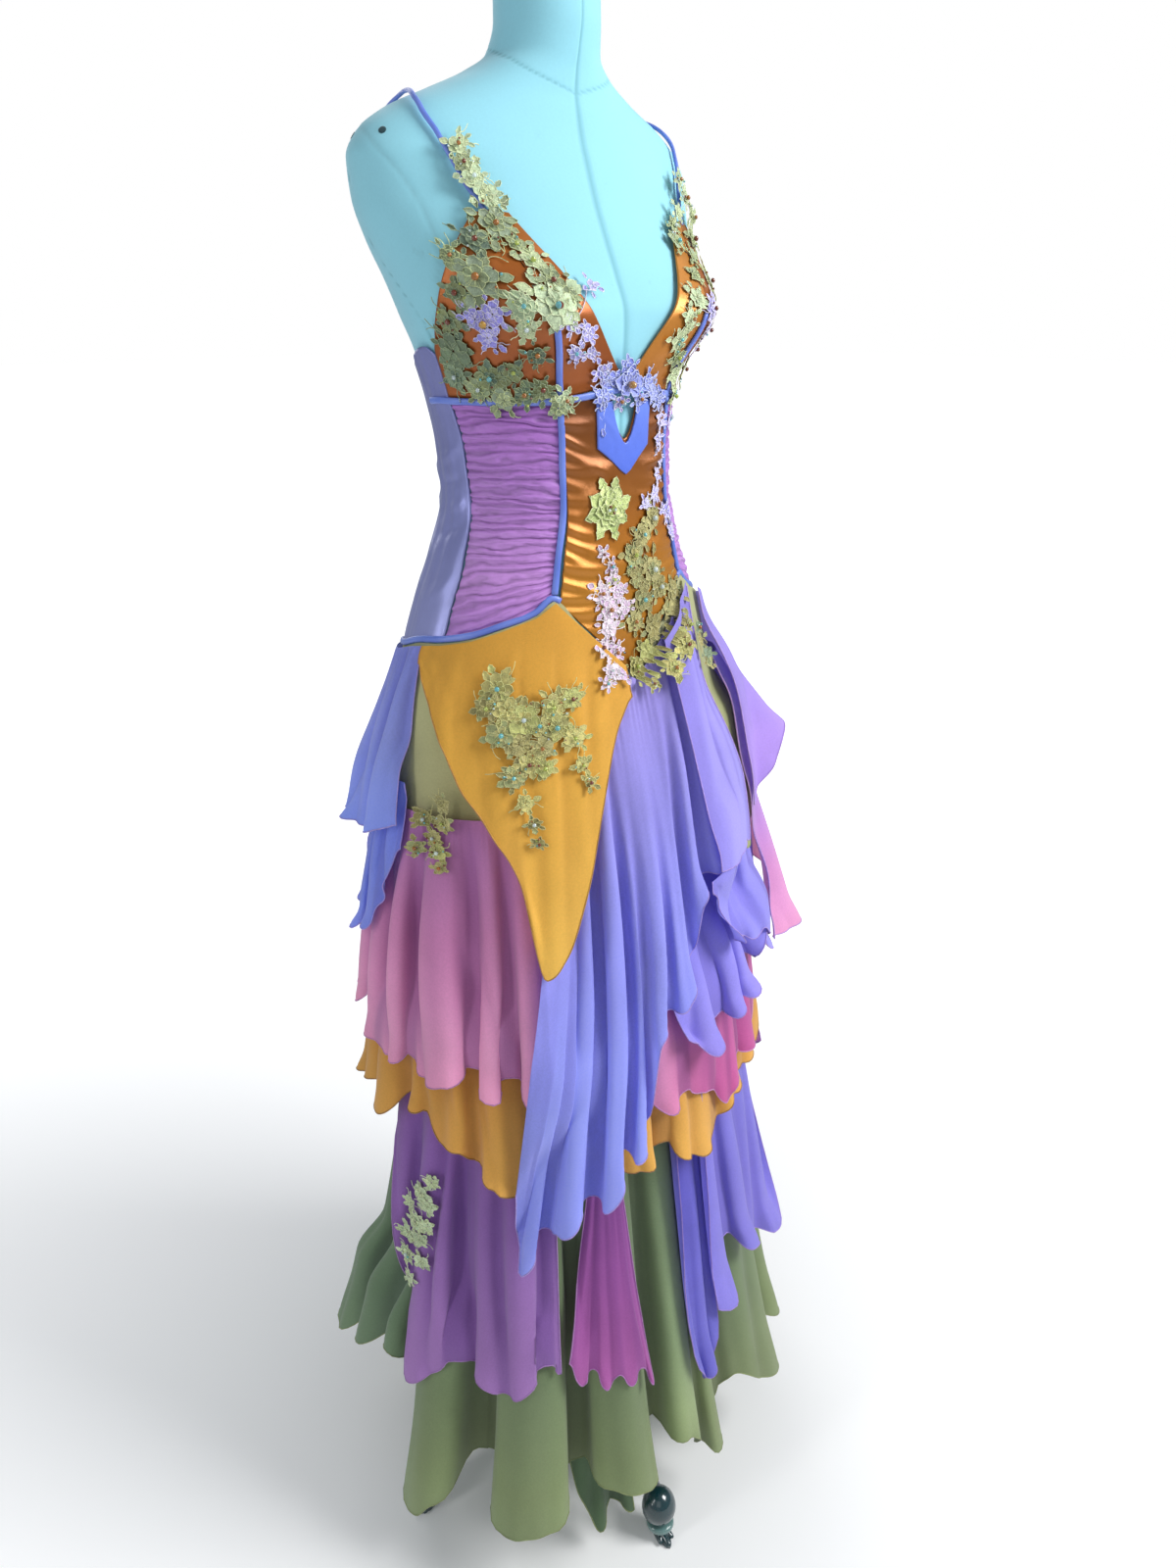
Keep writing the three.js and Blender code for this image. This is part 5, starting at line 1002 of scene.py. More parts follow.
def drape(name, l, seed):
    rng = np.random.default_rng(seed)
    step = l.get("step", 0.6)
    closed = "span" not in l
    if closed:
        u = np.arange(-180, 180, step)
    else:
        u = np.linspace(*l["span"], int(round((l["span"][1] - l["span"][0]) / step)) + 1)
    s = np.linspace(0, 1, l["rows"])
    U, S = np.meshgrid(u, s, indexing="ij")
    if l.get("straight"):
        top = line(l["top"], wrap(u))
    else:
        top = ring(l["top"], u, 1)
    hem, out = ring(l["hem"], u, 1), ring(l["hem"], u, 2)
    # each fold of the table gets a full, round crest and a narrow, deep valley
    vol = l.get("flute", 1.0)
    wider = np.arange(-12, 13, 3)

    def rises(x):
        return ring(l["hem"], x, 2) - np.mean([ring(l["hem"], x + d, 2) for d in wider], axis=0)

    dev = rises(u)
    level, reach = out - dev, 1.5 * np.sqrt(np.mean([rises(u + d) ** 2 for d in wider], axis=0)) + 1e-3
    round_ = reach * (2 * np.clip(dev / reach / 2 + 0.5, 0, 1) ** 0.6 - 1)
    out = level + (1 - vol) * dev + vol * (1.7 * round_ - 0.35 * reach)
    for end, size in zip((0, 1), l.get("taper", (0, 0))):  # an open edge swings up in a curve
        if size:
            away = np.clip(np.abs(u - l["span"][end]) / size, 0, 1)
            short = 0.25 + 0.75 * away**0.6
            hem, out = top - (top - hem) * short, l["lift"] + (out - l["lift"]) * short
    # secondary folds: soft ridges and troughs, uneven in start, length, depth, spacing and lean
    extra = np.zeros_like(U)
    flat = top[:, None] + (hem - top)[:, None] * S
    width = (u[-1] - u[0]) if not closed else 360
    slope = l.get("slope", (0.0, 0.0))
    for n, deep in l["folds"]:
        extra += flutes(U, S, flat - hem[:, None], u[0], width, n, deep, slope, closed, rng)
    half = max(int(1.2 / step), 1)
    soft_kernel = np.hanning(2 * half + 3)[1:-1]
    pad = np.pad(extra, ((half, half), (0, 0)), mode="wrap" if closed else "edge")
    extra = sum(w * pad[k : k + len(u)] for k, w in enumerate(soft_kernel / soft_kernel.sum()))
    H = l["lift"] + (out[:, None] - l["lift"]) * S ** l["grow"]
    for low, deep, first, last in l.get("tuck", ()):  # drawn in where an outer layer hides it
        w = wrap(U)
        H = H - deep * smooth((flat - low) / 60) * smooth((w - first) / 5 + 0.5) * smooth((last - w) / 5 + 0.5)
    H = np.maximum(H, 3)
    # gathers where the cloth joins its seam
    arc = 3.3
    if l["seam"]:
        g = np.sin(2 * np.pi * (U * 0.42 + 0.5 * noise(U / 4, S * 2, seed + 3)) + 1.5 * noise(U / 7, S * 3, seed + 4))
        extra += 0.9 * g * np.exp(-((S / 0.16) ** 2)) * smooth(S / 0.03 + 0.3)
    extra += 0.5 * noise(U * arc / 22, S * 4, seed + 5)
    # the crest of a deep fold rounds over and its sides stand steep
    total = H + extra
    kernel = np.hanning(int(9 / step) * 2 + 3)
    kernel /= kernel.sum()
    half = len(kernel) // 2
    pad = np.pad(total, ((half, half), (0, 0)), mode="wrap" if closed else "edge")
    level = np.apply_along_axis(lambda c: np.convolve(c, kernel, "valid"), 0, pad)
    rise = total - level
    if closed:
        steep = (np.roll(rise, -1, 0) - np.roll(rise, 1, 0)) / (2 * step * arc)
    else:
        steep = np.gradient(rise, step * arc, axis=0)
    ruffle = l.get("ruffle", 1.0)
    most = 6 * ruffle
    aside = most * np.tanh(-0.5 * ruffle * rise * steep / most)
    half = max(int(1.5 / step), 1)
    soft_kernel = np.hanning(2 * half + 3)[1:-1]
    pad = np.pad(aside, ((half, half), (0, 0)), mode="wrap" if closed else "edge")
    aside = sum(w * pad[k : k + len(u)] for k, w in enumerate(soft_kernel / soft_kernel.sum()))
    if not closed:
        aside *= smooth(np.minimum(U - u[0], u[-1] - U) / 2.0)
    sway = l.get("sway", 3.5) * noise(U / 16, S * 1.8, seed + 6) * S * (1.0 if closed else 0.7)
    T = U + aside / arc + sway / arc * 1.5
    if "pinch" in l:
        c, k = l["pinch"]
        T = (c + (T - c) * k) * (1 - S) + T * S
    # crests hang lower, and the hem rolls out or in along them
    drop = -0.45 * ruffle * np.clip(rise[:, -1], -14, 14) + 1.5 * noise(u / 4.5, 0, seed + 7)
    Z = top[:, None] + (hem - top)[:, None] * S + drop[:, None] * S**3
    curl = l.get("curl", 1.0) * ruffle
    lip = smooth((S - 0.87) / 0.13) ** 1.5
    flip_out = curl * lip * (2.0 + 6.0 * np.clip(rise[:, -1:] / 12, -0.7, 1) + 4.0 * noise(U / 5, 0 * S, seed + 8))
    H = total + flip_out
    under = lookup(spread(cover), T, Z) + GAP
    for axis, reach in ((0, int(2.2 / step)), (1, 3)):  # what lies beneath shows through only softly
        kind = "wrap" if closed and axis == 0 else "edge"
        pad = [(0, 0), (0, 0)]
        pad[axis] = (2 * reach, 2 * reach)
        wide = np.pad(under, pad, mode=kind)
        size = under.shape[axis]
        cut_ = [wide.take(np.arange(k, k + size + 2 * reach), axis) for k in range(2 * reach + 1)]
        high = np.maximum.reduce(cut_)
        weight = np.hanning(2 * reach + 3)[1:-1]
        under = sum(w * high.take(np.arange(k, k + size), axis) for k, w in enumerate(weight / weight.sum()))
    # rest on what is underneath, easing where the two come near
    soft = 2.2
    H = np.where(H - under > 6 * soft, H, under + soft * np.log1p(np.exp(np.clip((H - under) / soft, -30, 30))))
    lay(T, Z, H + 0.4)
    P = place(T, Z, H)
    shade = blend(l["dye"], Z + 14 * noise(U / 14, S * 3, seed + 9))
    if "dye2" in l:  # the dye changes round the figure
        other, t0, t1 = l["dye2"]
        k = (smooth((wrap(T) - t0) / (t1 - t0)) * smooth((178 - np.abs(wrap(T))) / 40))[..., None]
        shade = shade * (1 - k) + blend(other, Z) * k
    if name == "underskirt":  # painted light: the fold right of the gathers is made paler so that it reads as lit
        shade = shade * (1 + 0.5 * np.exp(-(((wrap(T) + 5) / 7) ** 2)) * smooth((Z - 120) / 80) * smooth((640 - Z) / 120))[..., None]
    # painted shade and light in the folds: the colour deepens in each fold's valley and brightens on its crest, by an
    # amount set per layer, over a small random change
    tint_and_fold_shade = 1 + 0.05 * noise(U / 9, S * 5, seed + 10)[..., None] + l.get("fold_shade", 0.18) * np.tanh(rise / 7)[..., None] * np.array([1.0, 1.15, 0.7, 0][: shade.shape[-1]])
    mesh = Mesh()
    across = float(np.linalg.norm(np.diff(P[:, -1], axis=0), axis=-1).sum())
    down = float(np.linalg.norm(np.diff(P[P.shape[0] // 2], axis=0), axis=-1).sum())
    mesh.grid(P, (shade * tint_and_fold_shade).reshape(-1, 3), around=closed, size=(across, down))
    ob = mesh.object("gown_" + name, [CHIFFON], l["slot"], [] if l.get("bare") else [name])
    # the rolled edge
    if closed:
        path, tt = P[:, -1], T[:, -1]
    else:
        path = np.concatenate([P[0, 1:-1], P[:, -1], P[-1, -2:0:-1]])
        tt = np.concatenate([T[0, 1:-1], T[:, -1], T[-1, -2:0:-1]])
    r = np.radians(tt)
    up = np.stack([np.sin(r), -np.cos(r), 0.35 + 0 * r], -1)
    key = l["slot"].split("_")[0]
    base = rgb(EDGE_COLOUR[key]) if key in EDGE_COLOUR else rgb("#b98fc0") * 0.5 + shade.reshape(-1, 3).mean(0) * 0.6
    edge = Mesh()
    wob = 0.75 + 0.2 * noise(np.arange(len(path)) / 1.7, 0, seed + 11)
    edge.tube(path, up, wob / 1000, 4, base, closed=closed)
    hem_ob = edge.object(f"gown_{name}_hem", [HEM], l["slot"])
    grid = np.concatenate([P, P[:1]]) if closed else P
    cut(ob, grid)
    return ob


lay(*np.broadcast_arrays(np.arange(-180, 180.0)[:, None], np.arange(1110, 1132.0, 6)[None], 4.0))
for seed, (name, l) in enumerate(LAYERS.items()):
    drape(name, l, 100 + 37 * seed)

# ---------------------------------------------------------------- lace
OVER = spread(cover, 1.6, 1.4)


def surface(t, z):
    """How far out lace lies at (t, z): over the bodice cords, or over the outermost skirt layer."""
    t, z = np.asarray(t, float), np.asarray(z, float)
    body = CLOTH + 1.6 + 2.6 * np.exp(-(((z - 1303.5) / 5) ** 2)) * (np.abs(t) < 98) + 2.4 * np.exp(-(((np.abs(t) - 31.5) / 3.0) ** 2)) * (z < 1376)
    body = body + 3.4 * smooth((z - 1446) / 10) * (np.abs(t) < 56)
    skirt = lookup(OVER, t, z) + 1.6
    w = smooth((hip(t) - 2 - z) / 12)
    return body * (1 - w) + np.maximum(skirt, body - 1) * w


class Lace:
    """Flowers, leaves and cords laid on the cloth round a middle, in millimetres across and up."""

    def __init__(self):
        self.cloth, self.cords, self.beads = Mesh(), Mesh(), Mesh()
        self.count = 0

    def spot(self, t0, z0, x, y, lift):
        e = 0.5
        a = np.linalg.norm(place(t0 + e, z0, 8) - place(t0 - e, z0, 8)) * 1000
        b = np.linalg.norm(place(t0, z0 + e, 8) - place(t0, z0 - e, 8)) * 1000
        t, z = t0 + np.asarray(x) / a, z0 + np.asarray(y) / b
        return t, z, place(t, z, surface(t, z) + lift)

    def petal(self, t0, z0, angle, start, size, wide, colour, cup=1.2, scallop=0.0, tip=0.5, cord=0.35, cord_colour=None, lift=0.0, fine=(5, 4)):
        """One petal or leaf that starts `start` mm from the middle along angle."""
        m, k = fine
        a = np.linspace(0, 1, m + 1)[:, None]
        b = np.linspace(-1, 1, k)[None]
        form = np.sin(np.pi * np.clip(a, 0, 1) ** tip) ** 0.8
        form = np.maximum(form, 0.10 * (1 - a))
        half = wide / 2 * form * (1 + scallop * np.sin(a * 16 + angle) * np.abs(b))
        x = start + size * a + 0 * b + 0.10 * size * (b**2) * -1 * a
        y = half * b
        h = lift + cup * (np.sin(np.pi * a) * 0.6 + 0.4 * a) * (0.35 + 0.65 * b**2) + 0.02 * size * np.sin(7 * b + 3 * a + angle * 5) * a
        ca, sa = math.cos(angle), math.sin(angle)
        X, Y = x * ca - y * sa, x * sa + y * ca
        _, _, P = self.spot(t0, z0, X, Y, h)
        vein = 1 - 0.22 * np.exp(-((b / 0.18) ** 2)) + 0.10 * np.abs(b)
        c = np.asarray(colour)[None, None] * (vein * (0.82 + 0.3 * a))[..., None]
        self.cloth.grid(P[:, ::-1], c[:, ::-1].reshape(-1, 3))
        if cord:
            edge = np.concatenate([P[:, 0], P[::-1, -1][1:]])
            t, z, _ = self.spot(t0, z0, np.array([start * ca]), np.array([start * sa]), 0)
            n = normal(t0, z0)
            self.cords.tube(edge, n, cord / 1000, 3, np.asarray(cord_colour if cord_colour is not None else colour))
        self.count += 1

    def flower(self, t0, z0, r, petals, colour, cord_colour, rng, wide=1.0, cord=0.4, cup=2.0):
        turn = rng.uniform(0, 2 * np.pi)
        for k in range(petals):
            a = turn + 2 * np.pi * k / petals + rng.uniform(-0.12, 0.12)
            size = r * rng.uniform(0.82, 1.05)
            self.petal(t0, z0, a, r * 0.10, size * 0.9, size * 2.6 / petals * 1.5 * wide, colour * rng.uniform(0.82, 1.12), cup=cup * rng.uniform(0.5, 1.3), scallop=0.16, tip=1.35, cord=cord, cord_colour=cord_colour, lift=rng.uniform(0, 0.9))

    def leaf(self, t0, z0, a, size, wide, colour, cord_colour, rng, cord=0.35):
        self.petal(t0, z0, a, 0, size, wide, colour * rng.uniform(0.8, 1.12), cup=rng.uniform(0.4, 1.8), scallop=0.22, tip=0.95, cord=cord, cord_colour=cord_colour, lift=rng.uniform(0, 0.7))

    def vine(self, t0, z0, points, colour, cord=0.45):
        x, y = spline(points, 4 * len(points)).T
        _, _, P = self.spot(t0, z0, x, y, 0.5 + 0 * x)
        self.cords.tube(P, normal(t0, z0), cord / 1000, 3, colour)

    def bead(self, t, z, r, colour, mat=0, lift=1.5, tall=0.85):
        p = place(t, z, float(surface(t, z)) + lift + r * 0.8)
        self.beads.ball(p, normal(t, z), r / 1000, tall, colour, mat, sides=8, rings=6)

    def finish(self, name, node_name, mat, slot, size):
        ob = self.cloth.object(f"gown_{name}", [mat], slot, [node_name] if node_name else [])
        extra = []
        if self.cords.n:
            extra.append(self.cords.object(f"gown_{name}_cord", [mat], slot))
        if self.beads.n:
            extra.append(self.beads.object(f"gown_{name}_beads", [BEAD_AMBER, BEAD_CLEAR], slot))
        self.made = (ob, extra)
        me = ob.data
        area = sum(p.area for p in me.polygons)
        w, h = size
        scale = math.sqrt(area / (w * h) / min(max(area / (w * h), 0.45), 0.95))
        w, h = w * scale, h * scale
        SHEETS.append((ob.name, w, h, area))
        return ob


SHADES = {  # petal colours and the cord round them; the darker olive set is the same lace with painted shade, for the lower and outer parts of the cups
    "olive": (("#95a072", "#a6ae7c", "#848f62", "#9ca882"), "#ccd79c"),
    "pale": (("#bccb96", "#cbd8a4", "#abbb8a", "#c3cc92"), "#e6efc2"),
    "olive_shaded": (("#6f7f5a", "#80906c", "#63755a", "#8a8f58"), "#a5b68c"),
    "lilac": (("#a8a2ec", "#bab4f4", "#9690e0"), "#ece7ff"),
    "blue": (("#8791e8", "#9aa4f2", "#7a86de"), "#cfd6fc"),
    "green": (("#c6d588", "#d6e298", "#b4c67a"), "#e8f2b4"),
    "bronze": (("#9c9256", "#aca468", "#8a8248", "#9aa06a"), "#ccc686"),
    "gold": (("#aea45e", "#c2b86e", "#98924e", "#b2b468"), "#dcdc92"),
    "blush": (("#e2c2e0", "#dab8e2", "#eed8e8"), "#fbf2f8"),
}
SHADES = {name: ([rgb(c) for c in petals], rgb(edge)) for name, (petals, edge) in SHADES.items()}
for name in ("olive", "pale", "olive_shaded"):
    SHADES[name] = ([c * np.array([0.92, 0.98, 1.14][: len(c)] + [1.0] * (len(c) - 3)) for c in SHADES[name][0]], SHADES[name][1])
LILAC, LILAC_CORD = SHADES["lilac"]
GREEN, GREEN_CORD = SHADES["green"]
AMBER, RUST, AQUA_BEAD, CLEAR, LIME = rgb("#b0702c"), rgb("#7e3418"), rgb("#7fd6dc"), rgb("#e8f6f6"), rgb("#c9d86a")


def cluster(lace, motifs, rng, leafy=1.0, cord=0.34, arc=2.3, stem=False, studs=0.8):
    """Flowers set at (t, z, radius, shade), each with its own leaves, tendrils and beads."""
    for k, (t, z, r, shade) in enumerate(motifs):
        r = 1.22 * r
        palette, edge = SHADES[shade]
        pick = lambda: palette[int(rng.integers(len(palette)))]
        count = max(4, int(leafy * (3.4 + r / 3.2)))
        turn = rng.uniform(0, 6.28)
        for j in range(count):
            a = turn + 6.283 * j / count + rng.uniform(-0.35, 0.35)
            out = r * rng.uniform(0.35, 0.8)
            size = rng.uniform(0.55, 0.95) * (4 + 0.55 * r)
            lace.leaf(t + out * math.cos(a) / arc, z + out * math.sin(a), a + rng.uniform(-0.5, 0.5), size, size * rng.uniform(0.42, 0.62), pick(), edge, rng, cord=cord)
        lace.flower(t, z, r * 0.92, 6 if r > 12 else 5, pick(), edge, rng, wide=1.05, cord=cord, cup=0.09 * r)
        if r > 9:
            lace.flower(t, z, r * 0.5, 5, pick() * 1.08, edge, rng, wide=1.0, cord=cord, cup=0.12 * r)
        for j in range(1 + int(r / 8)):
            a = rng.uniform(0, 6.28)
            x = [(r * 0.5 * math.cos(a), r * 0.5 * math.sin(a))]
            for _ in range(4):
                a += rng.uniform(-0.8, 0.8)
                x.append((x[-1][0] + 0.28 * r * math.cos(a), x[-1][1] + 0.28 * r * math.sin(a)))
            lace.vine(t, z, x, edge, cord * 1.25)
        if stem and k:
            t1, z1 = motifs[k - 1][:2]
            lace.vine(t, z, [(0, 0), ((t1 - t) * arc * 0.5 + 2, (z1 - z) * 0.5), ((t1 - t) * arc, z1 - z)], edge, cord * 1.5)
        if rng.uniform() < studs:
            pairs = [(AMBER, 0), (RUST, 0), (AQUA_BEAD, 1), (CLEAR, 1), (LIME, 1)]
            c, m = pairs[int(rng.integers(5))]
            lace.bead(t, z, 0.9 + 0.08 * r + rng.uniform(0, 0.6), c, m, lift=1.4 + 0.08 * r)
            for _ in range(int(rng.integers(1, 4))):
                c, m = pairs[int(rng.integers(5))]
                a, d = rng.uniform(0, 6.28), r * rng.uniform(0.3, 0.9)
                lace.bead(t + d * math.cos(a) / arc, z + d * math.sin(a), rng.uniform(0.8, 1.3), c, m, lift=1.8)


CUP_LACE_R = [
    (-42.6, 1497, 9, "pale"), (-41.7, 1484, 8, "olive"), (-39.5, 1474, 10, "pale"), (-37, 1460, 11, "pale"), (-37.5, 1440, 16, "olive"),
    (-46, 1428, 13, "olive_shaded"), (-51, 1400, 20, "olive"), (-60, 1388, 11, "olive_shaded"), (-31.7, 1413, 10, "pale"), (-28.6, 1398, 12, "olive"),
    (-30.5, 1379, 21, "pale"), (-40.5, 1378, 13, "pale"), (-41.1, 1360, 9, "pale"), (-67, 1366, 12, "olive_shaded"), (-71, 1343, 17, "olive_shaded"),
    (-74, 1322, 12, "olive_shaded"), (-64, 1312, 11, "olive"), (-57.9, 1321, 14, "olive_shaded"), (-48, 1326, 10, "olive_shaded"), (-53.7, 1304, 11, "olive"),
    (-45, 1308, 9, "olive_shaded"), (-38.7, 1340, 9, "olive_shaded"), (-37.4, 1312, 10, "olive_shaded"), (-28.5, 1303, 9, "pale"), (-32, 1297, 7, "olive"),
    (-34, 1425, 8, "olive"), (-56, 1416, 9, "olive"), (-25, 1386, 9, "olive"),
]
CUP_LILAC_R = [(-56.2, 1368, 12, "lilac"), (-50, 1372, 11, "lilac"), (-54.2, 1354, 10, "lilac")]
SPRAY_R = [(-14.9, 1394, 6, "lilac"), (-26.6, 1364, 7, "lilac"), (-20.3, 1357, 8, "lilac"), (-24.8, 1341, 7, "lilac"), (-18.4, 1341, 6, "lilac"), (-13, 1326, 7, "lilac")]
CUP_LACE_L = [
    (39.5, 1486, 7, "pale"), (42.5, 1471, 8, "pale"), (47, 1455, 10, "olive"), (43, 1436, 11, "olive"), (36, 1420, 9, "olive"),
    (30, 1446, 8, "olive"), (29, 1433, 9, "olive"), (34, 1457, 8, "pale"), (31.4, 1405, 9, "olive"), (27, 1385, 11, "pale"), (24, 1367, 9, "pale"), (22, 1350, 10, "pale"), (26, 1334, 9, "olive"),
    (30.8, 1319, 10, "pale"), (34, 1300, 9, "olive"), (46, 1400, 14, "olive"), (56, 1385, 14, "olive"), (58, 1352, 13, "olive_shaded"), (50, 1322, 12, "olive"), (62, 1330, 10, "olive_shaded"),
]
CUP_LILAC_L = [(35.5, 1376, 12, "lilac"), (43, 1357, 11, "lilac"), (44, 1340, 8, "lilac"), (36, 1281, 6, "lilac")]
BOW_LACE = [(-9.5, 1318, 9, "blue"), (11, 1314, 9, "blue"), (-0.7, 1328, 9, "blue"), (21, 1299, 8, "blue"), (-12.5, 1305, 8, "blue"), (6.5, 1301, 7, "blue"), (15, 1306, 8, "blue"), (-4, 1300, 6, "lilac")]
LAVENDER_LACE = [(25, 1281, 7, "lilac"), (24, 1264, 6, "lilac"), (25, 1248, 7, "lilac"), (23, 1232, 6, "lilac"), (20, 1215, 7, "lilac"), (12, 1208, 6, "lilac"), (29, 1196, 7, "lilac"), (31, 1176, 6, "lilac")]
BRONZE_LACE = [
    (15.8, 1194, 12, "bronze"), (8, 1181, 12, "bronze"), (2, 1164, 13, "bronze"), (12, 1147, 14, "bronze"), (15, 1129, 13, "bronze"),
    (24, 1121, 11, "bronze"), (5, 1121, 13, "bronze"), (20, 1105, 10, "bronze"), (0.6, 1102, 11, "bronze"), (10, 1092, 13, "bronze"),
    (17, 1074, 13, "gold"), (6, 1072, 11, "gold"), (1, 1058, 10, "gold"), (10, 1056, 10, "gold"), (3, 1143, 10, "bronze"), (22, 1090, 9, "bronze"),
    (2.5, 1044, 6, "gold"),
]
HIP_LACE = [(33, 1078, 6, "olive_shaded"), (32, 1065, 7, "bronze"), (34, 1051, 6, "olive_shaded"), (33, 1042, 5, "bronze")]
BLUSH_LACE = [
    (-13.5, 1169, 4.5, "blush"), (-9.5, 1157, 5, "blush"), (-8.6, 1145, 6, "blush"), (-14, 1134, 10, "blush"), (-6.4, 1133, 8.5, "blush"),
    (-10.5, 1118, 11, "blush"), (-3.4, 1117, 7, "blush"), (-10.5, 1100, 10, "blush"), (-13, 1084, 8, "blush"), (-7.4, 1076, 8, "blush"),
    (-12, 1064, 7.5, "blush"), (-8, 1058, 6, "blush"), (-14, 1053, 5, "blush"),
]
POINT_LACE = [
    (-50.5, 1060, 14, "gold"), (-53.6, 1043, 10, "bronze"), (-47.0, 1041, 13, "gold"), (-41.9, 1032, 15, "gold"), (-48.7, 1020, 13, "bronze"),
    (-43.4, 1010, 11, "bronze"), (-32.8, 1041, 12, "gold"), (-26.6, 1046, 10, "gold"), (-32.1, 1023, 14, "gold"), (-26.8, 1011, 10, "gold"),
    (-37.2, 1026, 8, "bronze"), (-36.7, 1006, 11, "bronze"), (-36.1, 988, 9, "gold"), (-45.1, 982, 12, "bronze"), (-40.5, 992, 9, "gold"),
    (-25, 986, 7, "gold"), (-23.3, 969, 6, "gold"), (-42.2, 958, 8, "gold"), (-40.2, 938, 6, "bronze"), (-39.3, 920, 5, "bronze"),
]
YOKE_LACE = [(-68, 951, 8.5, "bronze"), (-76.0, 930, 9, "bronze"), (-68.5, 930, 9, "bronze"), (-72, 914, 7, "bronze"), (-78.4, 901, 8, "bronze"), (-70, 902, 8, "gold"), (-69, 888, 6, "bronze")]
TIER_LACE = [
    (-76.5, 520, 7, "pale"), (-80, 502, 9, "pale"), (-85, 477, 8, "pale"), (-77.6, 489, 8, "pale"), (-82.0, 462, 10, "pale"),
    (-77.6, 464, 7, "pale"), (-85.5, 438, 9, "pale"), (-80, 443, 8, "pale"), (-85, 412, 9, "pale"), (-79, 417, 8, "pale"), (-83.5, 386, 7, "pale"),
]


def make_laces():
    rng = np.random.default_rng(11)
    l = Lace()
    cluster(l, CUP_LACE_R, rng)
    cluster(l, CUP_LILAC_R, rng, studs=0)
    cluster(l, SPRAY_R, rng, cord=0.45, stem=True, studs=0.2)
    l.bead(-54, 1364, 3.4, rgb("#c99a3a"), 0, lift=3)
    l.bead(-30, 1379, 3.2, RUST, 0, lift=3)
    l.finish("lace_cup_R", "lace_cup_R", LACE_GOLD, "gold_lace", (0.15, 0.21))
    l = Lace()
    cluster(l, CUP_LACE_L, rng)
    cluster(l, CUP_LILAC_L, rng)
    l.finish("lace_cup_L", "lace_cup_L", LACE_GOLD, "gold_lace", (0.15, 0.21))
    # lilac bow over the top of the keyhole
    l = Lace()
    cluster(l, BOW_LACE, rng, cord=0.5, studs=0.1)
    blue, edge = SHADES["blue"]
    for a, size in ((2.9, 19), (0.2, 19), (2.2, 15), (0.95, 16), (3.8, 14), (5.6, 16), (1.55, 17)):
        l.petal(0, 1314, a, 0, size, size * 0.75, blue[1], cup=3, scallop=0.18, tip=0.9, cord=0.5, cord_colour=edge, lift=2.0, fine=(9, 7))
    for x, y, a in ((-26, -8, 4.6), (-28, -22, 4.8), (-28, -36, 4.9)):
        l.vine(0, 1314, [(x, y + 12), (x + 2, y + 4), (x - 1, y - 6)], edge, 0.5)
        l.leaf(-0.43 + x / 2.3, 1314 + y, a, 8, 4, blue[0], edge, rng)
    l.bead(0, 1314, 3.6, rgb("#b98a4a"), 0, lift=4.5, tall=1.2)
    l.finish("lace_bow", "lace_bow", LACE_COLOURED, "lavender_lace", (0.10, 0.08))
    l = Lace()
    cluster(l, LAVENDER_LACE, rng, cord=0.5, stem=True, studs=0.1)
    l.finish("lace_lavender_L", "lace_lavender_L", LACE_COLOURED, "lavender_lace", (0.05, 0.12))
    # one large pale green flower
    l = Lace()
    for r, n, lift in ((23, 8, 0), (17, 7, 1), (11, 6, 2), (6, 5, 3)):
        turn = rng.uniform(0, 6)
        for k in range(n):
            l.petal(-10.3, 1208, turn + 2 * np.pi * k / n, r * 0.1, r * rng.uniform(0.88, 1.08), r * 3.2 / n * 1.4, GREEN[int(rng.integers(3))] * rng.uniform(0.88, 1.1), cup=2.5, scallop=0.2, tip=1.3, cord=0.45, cord_colour=GREEN_CORD, lift=lift, fine=(8, 7))
    for k, a in enumerate((1.2, 1.9, 4.2, 5.0, 3.4, 0.3)):
        l.leaf(-10.3 + 15 * math.cos(a) / 2.3, 1208 + 17 * math.sin(a), a, 14, 8, GREEN[0], GREEN_CORD, rng, cord=0.45)
    for k in range(6):
        a = 1.05 * k
        l.bead(-10.3 + 1.5 * math.cos(a), 1208 + 3.4 * math.sin(a), 1.4, (CLEAR, LIME, RUST)[k % 3], 1 if k % 3 < 2 else 0, lift=4.5)
    l.finish("lace_flower", "lace_flower", LACE_GOLD, "gold_lace", (0.055, 0.065))
    l = Lace()
    cluster(l, BRONZE_LACE, rng)
    cluster(l, HIP_LACE, rng, studs=0.5)
    l.finish("lace_bronze", "lace_bronze", LACE_GOLD, "gold_lace", (0.08, 0.18))
    l = Lace()
    cluster(l, BLUSH_LACE, rng, cord=0.5, stem=True, studs=0.6)
    l.finish("lace_blush", "lace_blush", LACE_COLOURED, "blush_lace", (0.05, 0.12))
    l = Lace()
    cluster(l, POINT_LACE, rng, arc=3.0)
    l.finish("lace_yellow_point", "lace_yellow_point", LACE_GOLD, "gold_lace", (0.11, 0.14))
    l = Lace()
    cluster(l, YOKE_LACE, rng, arc=3.2)
    l.finish("lace_yoke", "lace_yoke", LACE_GOLD, "gold_lace", (0.06, 0.08))
    l = Lace()
    cluster(l, TIER_LACE, rng, arc=4.0, leafy=1.4, studs=0.15)
    l.finish("lace_violet", "lace_violet", LACE_GOLD, "gold_lace", (0.09, 0.15))


make_laces()

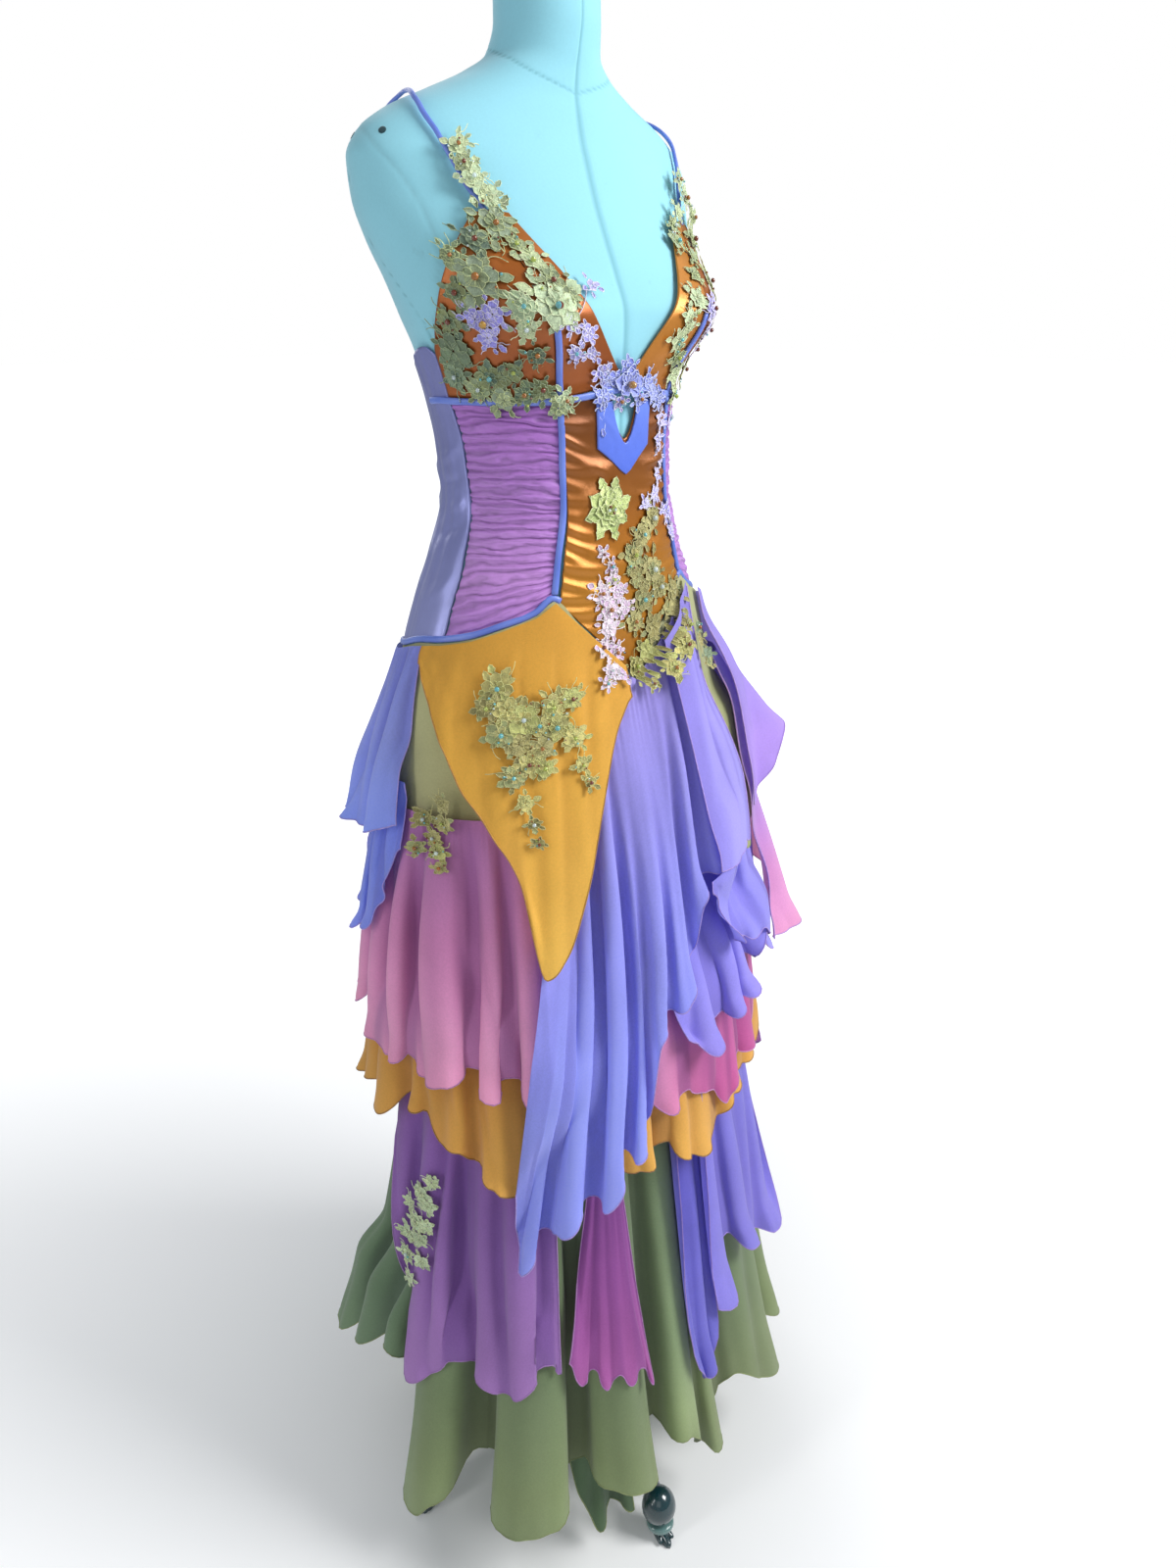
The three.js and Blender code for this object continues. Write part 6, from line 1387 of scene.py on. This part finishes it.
# ---------------------------------------------------------------- floor and light
floor = bpy.data.meshes.new("floor")
floor.from_pydata([(-30, -30, 0), (30, -30, 0), (30, 30, 0), (-30, 30, 0)], [], [(0, 1, 2, 3)])
m, tree, shader = material("floor_paper", Roughness=0.9, Specular_IOR_Level=0.1)
shader.inputs["Base Color"].default_value = (0.92, 0.92, 0.92, 1)
shader.inputs["Emission Color"].default_value = (1, 1, 1, 1)
# painted light: for camera rays the floor glows, hardly near the stand and more with distance, so that far off it reads
# as white
spot = node(tree, "ShaderNodeTexCoord")
far = node(tree, "ShaderNodeVectorMath", operation="LENGTH")
lit = node(tree, "ShaderNodeMapRange", {"From Min": 0.3, "From Max": 3.0, "To Min": 0.05, "To Max": 0.9})
tree.links.new(spot.outputs["Object"], far.inputs[0])
tree.links.new(far.outputs["Value"], lit.inputs["Value"])
ray = node(tree, "ShaderNodeLightPath")
seen = node(tree, "ShaderNodeMath", operation="MULTIPLY")
tree.links.new(lit.outputs["Result"], seen.inputs[0])
tree.links.new(ray.outputs["Is Camera Ray"], seen.inputs[1])
tree.links.new(seen.outputs["Value"], shader.inputs["Emission Strength"])
floor.materials.append(m)
floor_ob = bpy.data.objects.new("floor", floor)
bpy.context.scene.collection.objects.link(floor_ob)

world = bpy.data.worlds.new("studio")
bpy.context.scene.world = world
world.use_nodes = True
tree = world.node_tree
paper = tree.nodes["Background"]
paper.inputs["Color"].default_value = (1.0, 1.0, 1.0, 1)
paper.inputs["Strength"].default_value = 1.0
room = node(tree, "ShaderNodeBackground", {"Color": (0.86, 0.93, 1.0, 1), "Strength": 0.34})
seen = node(tree, "ShaderNodeLightPath")
both = node(tree, "ShaderNodeMixShader")
tree.links.new(seen.outputs["Is Camera Ray"], both.inputs[0])
tree.links.new(room.outputs[0], both.inputs[1])
tree.links.new(paper.outputs[0], both.inputs[2])
tree.links.new(both.outputs[0], tree.nodes["World Output"].inputs["Surface"])


def softbox(name, at, aim, size, watts):
    data = bpy.data.lights.new(name, "AREA")
    data.shape = "RECTANGLE"
    data.size, data.size_y = size
    data.energy = watts
    ob = bpy.data.objects.new(name, data)
    ob.location = at
    from mathutils import Vector

    ob.rotation_euler = (Vector(aim) - Vector(at)).to_track_quat("-Z", "Y").to_euler()
    bpy.context.scene.collection.objects.link(ob)


softbox("window", (1.15, -1.75, 2.45), (0, 0, 1.15), (1.15, 1.3), 70)
softbox("strip", (-2.0, 0.1, 1.5), (0, 0, 1.2), (0.3, 1.9), 10)
softbox("fill", (-1.9, -1.9, 1.9), (0, 0, 0.9), (1.6, 1.8), 6)
softbox("back", (0.8, 2.4, 2.2), (0, 0, 1.0), (2.0, 2.0), 24)
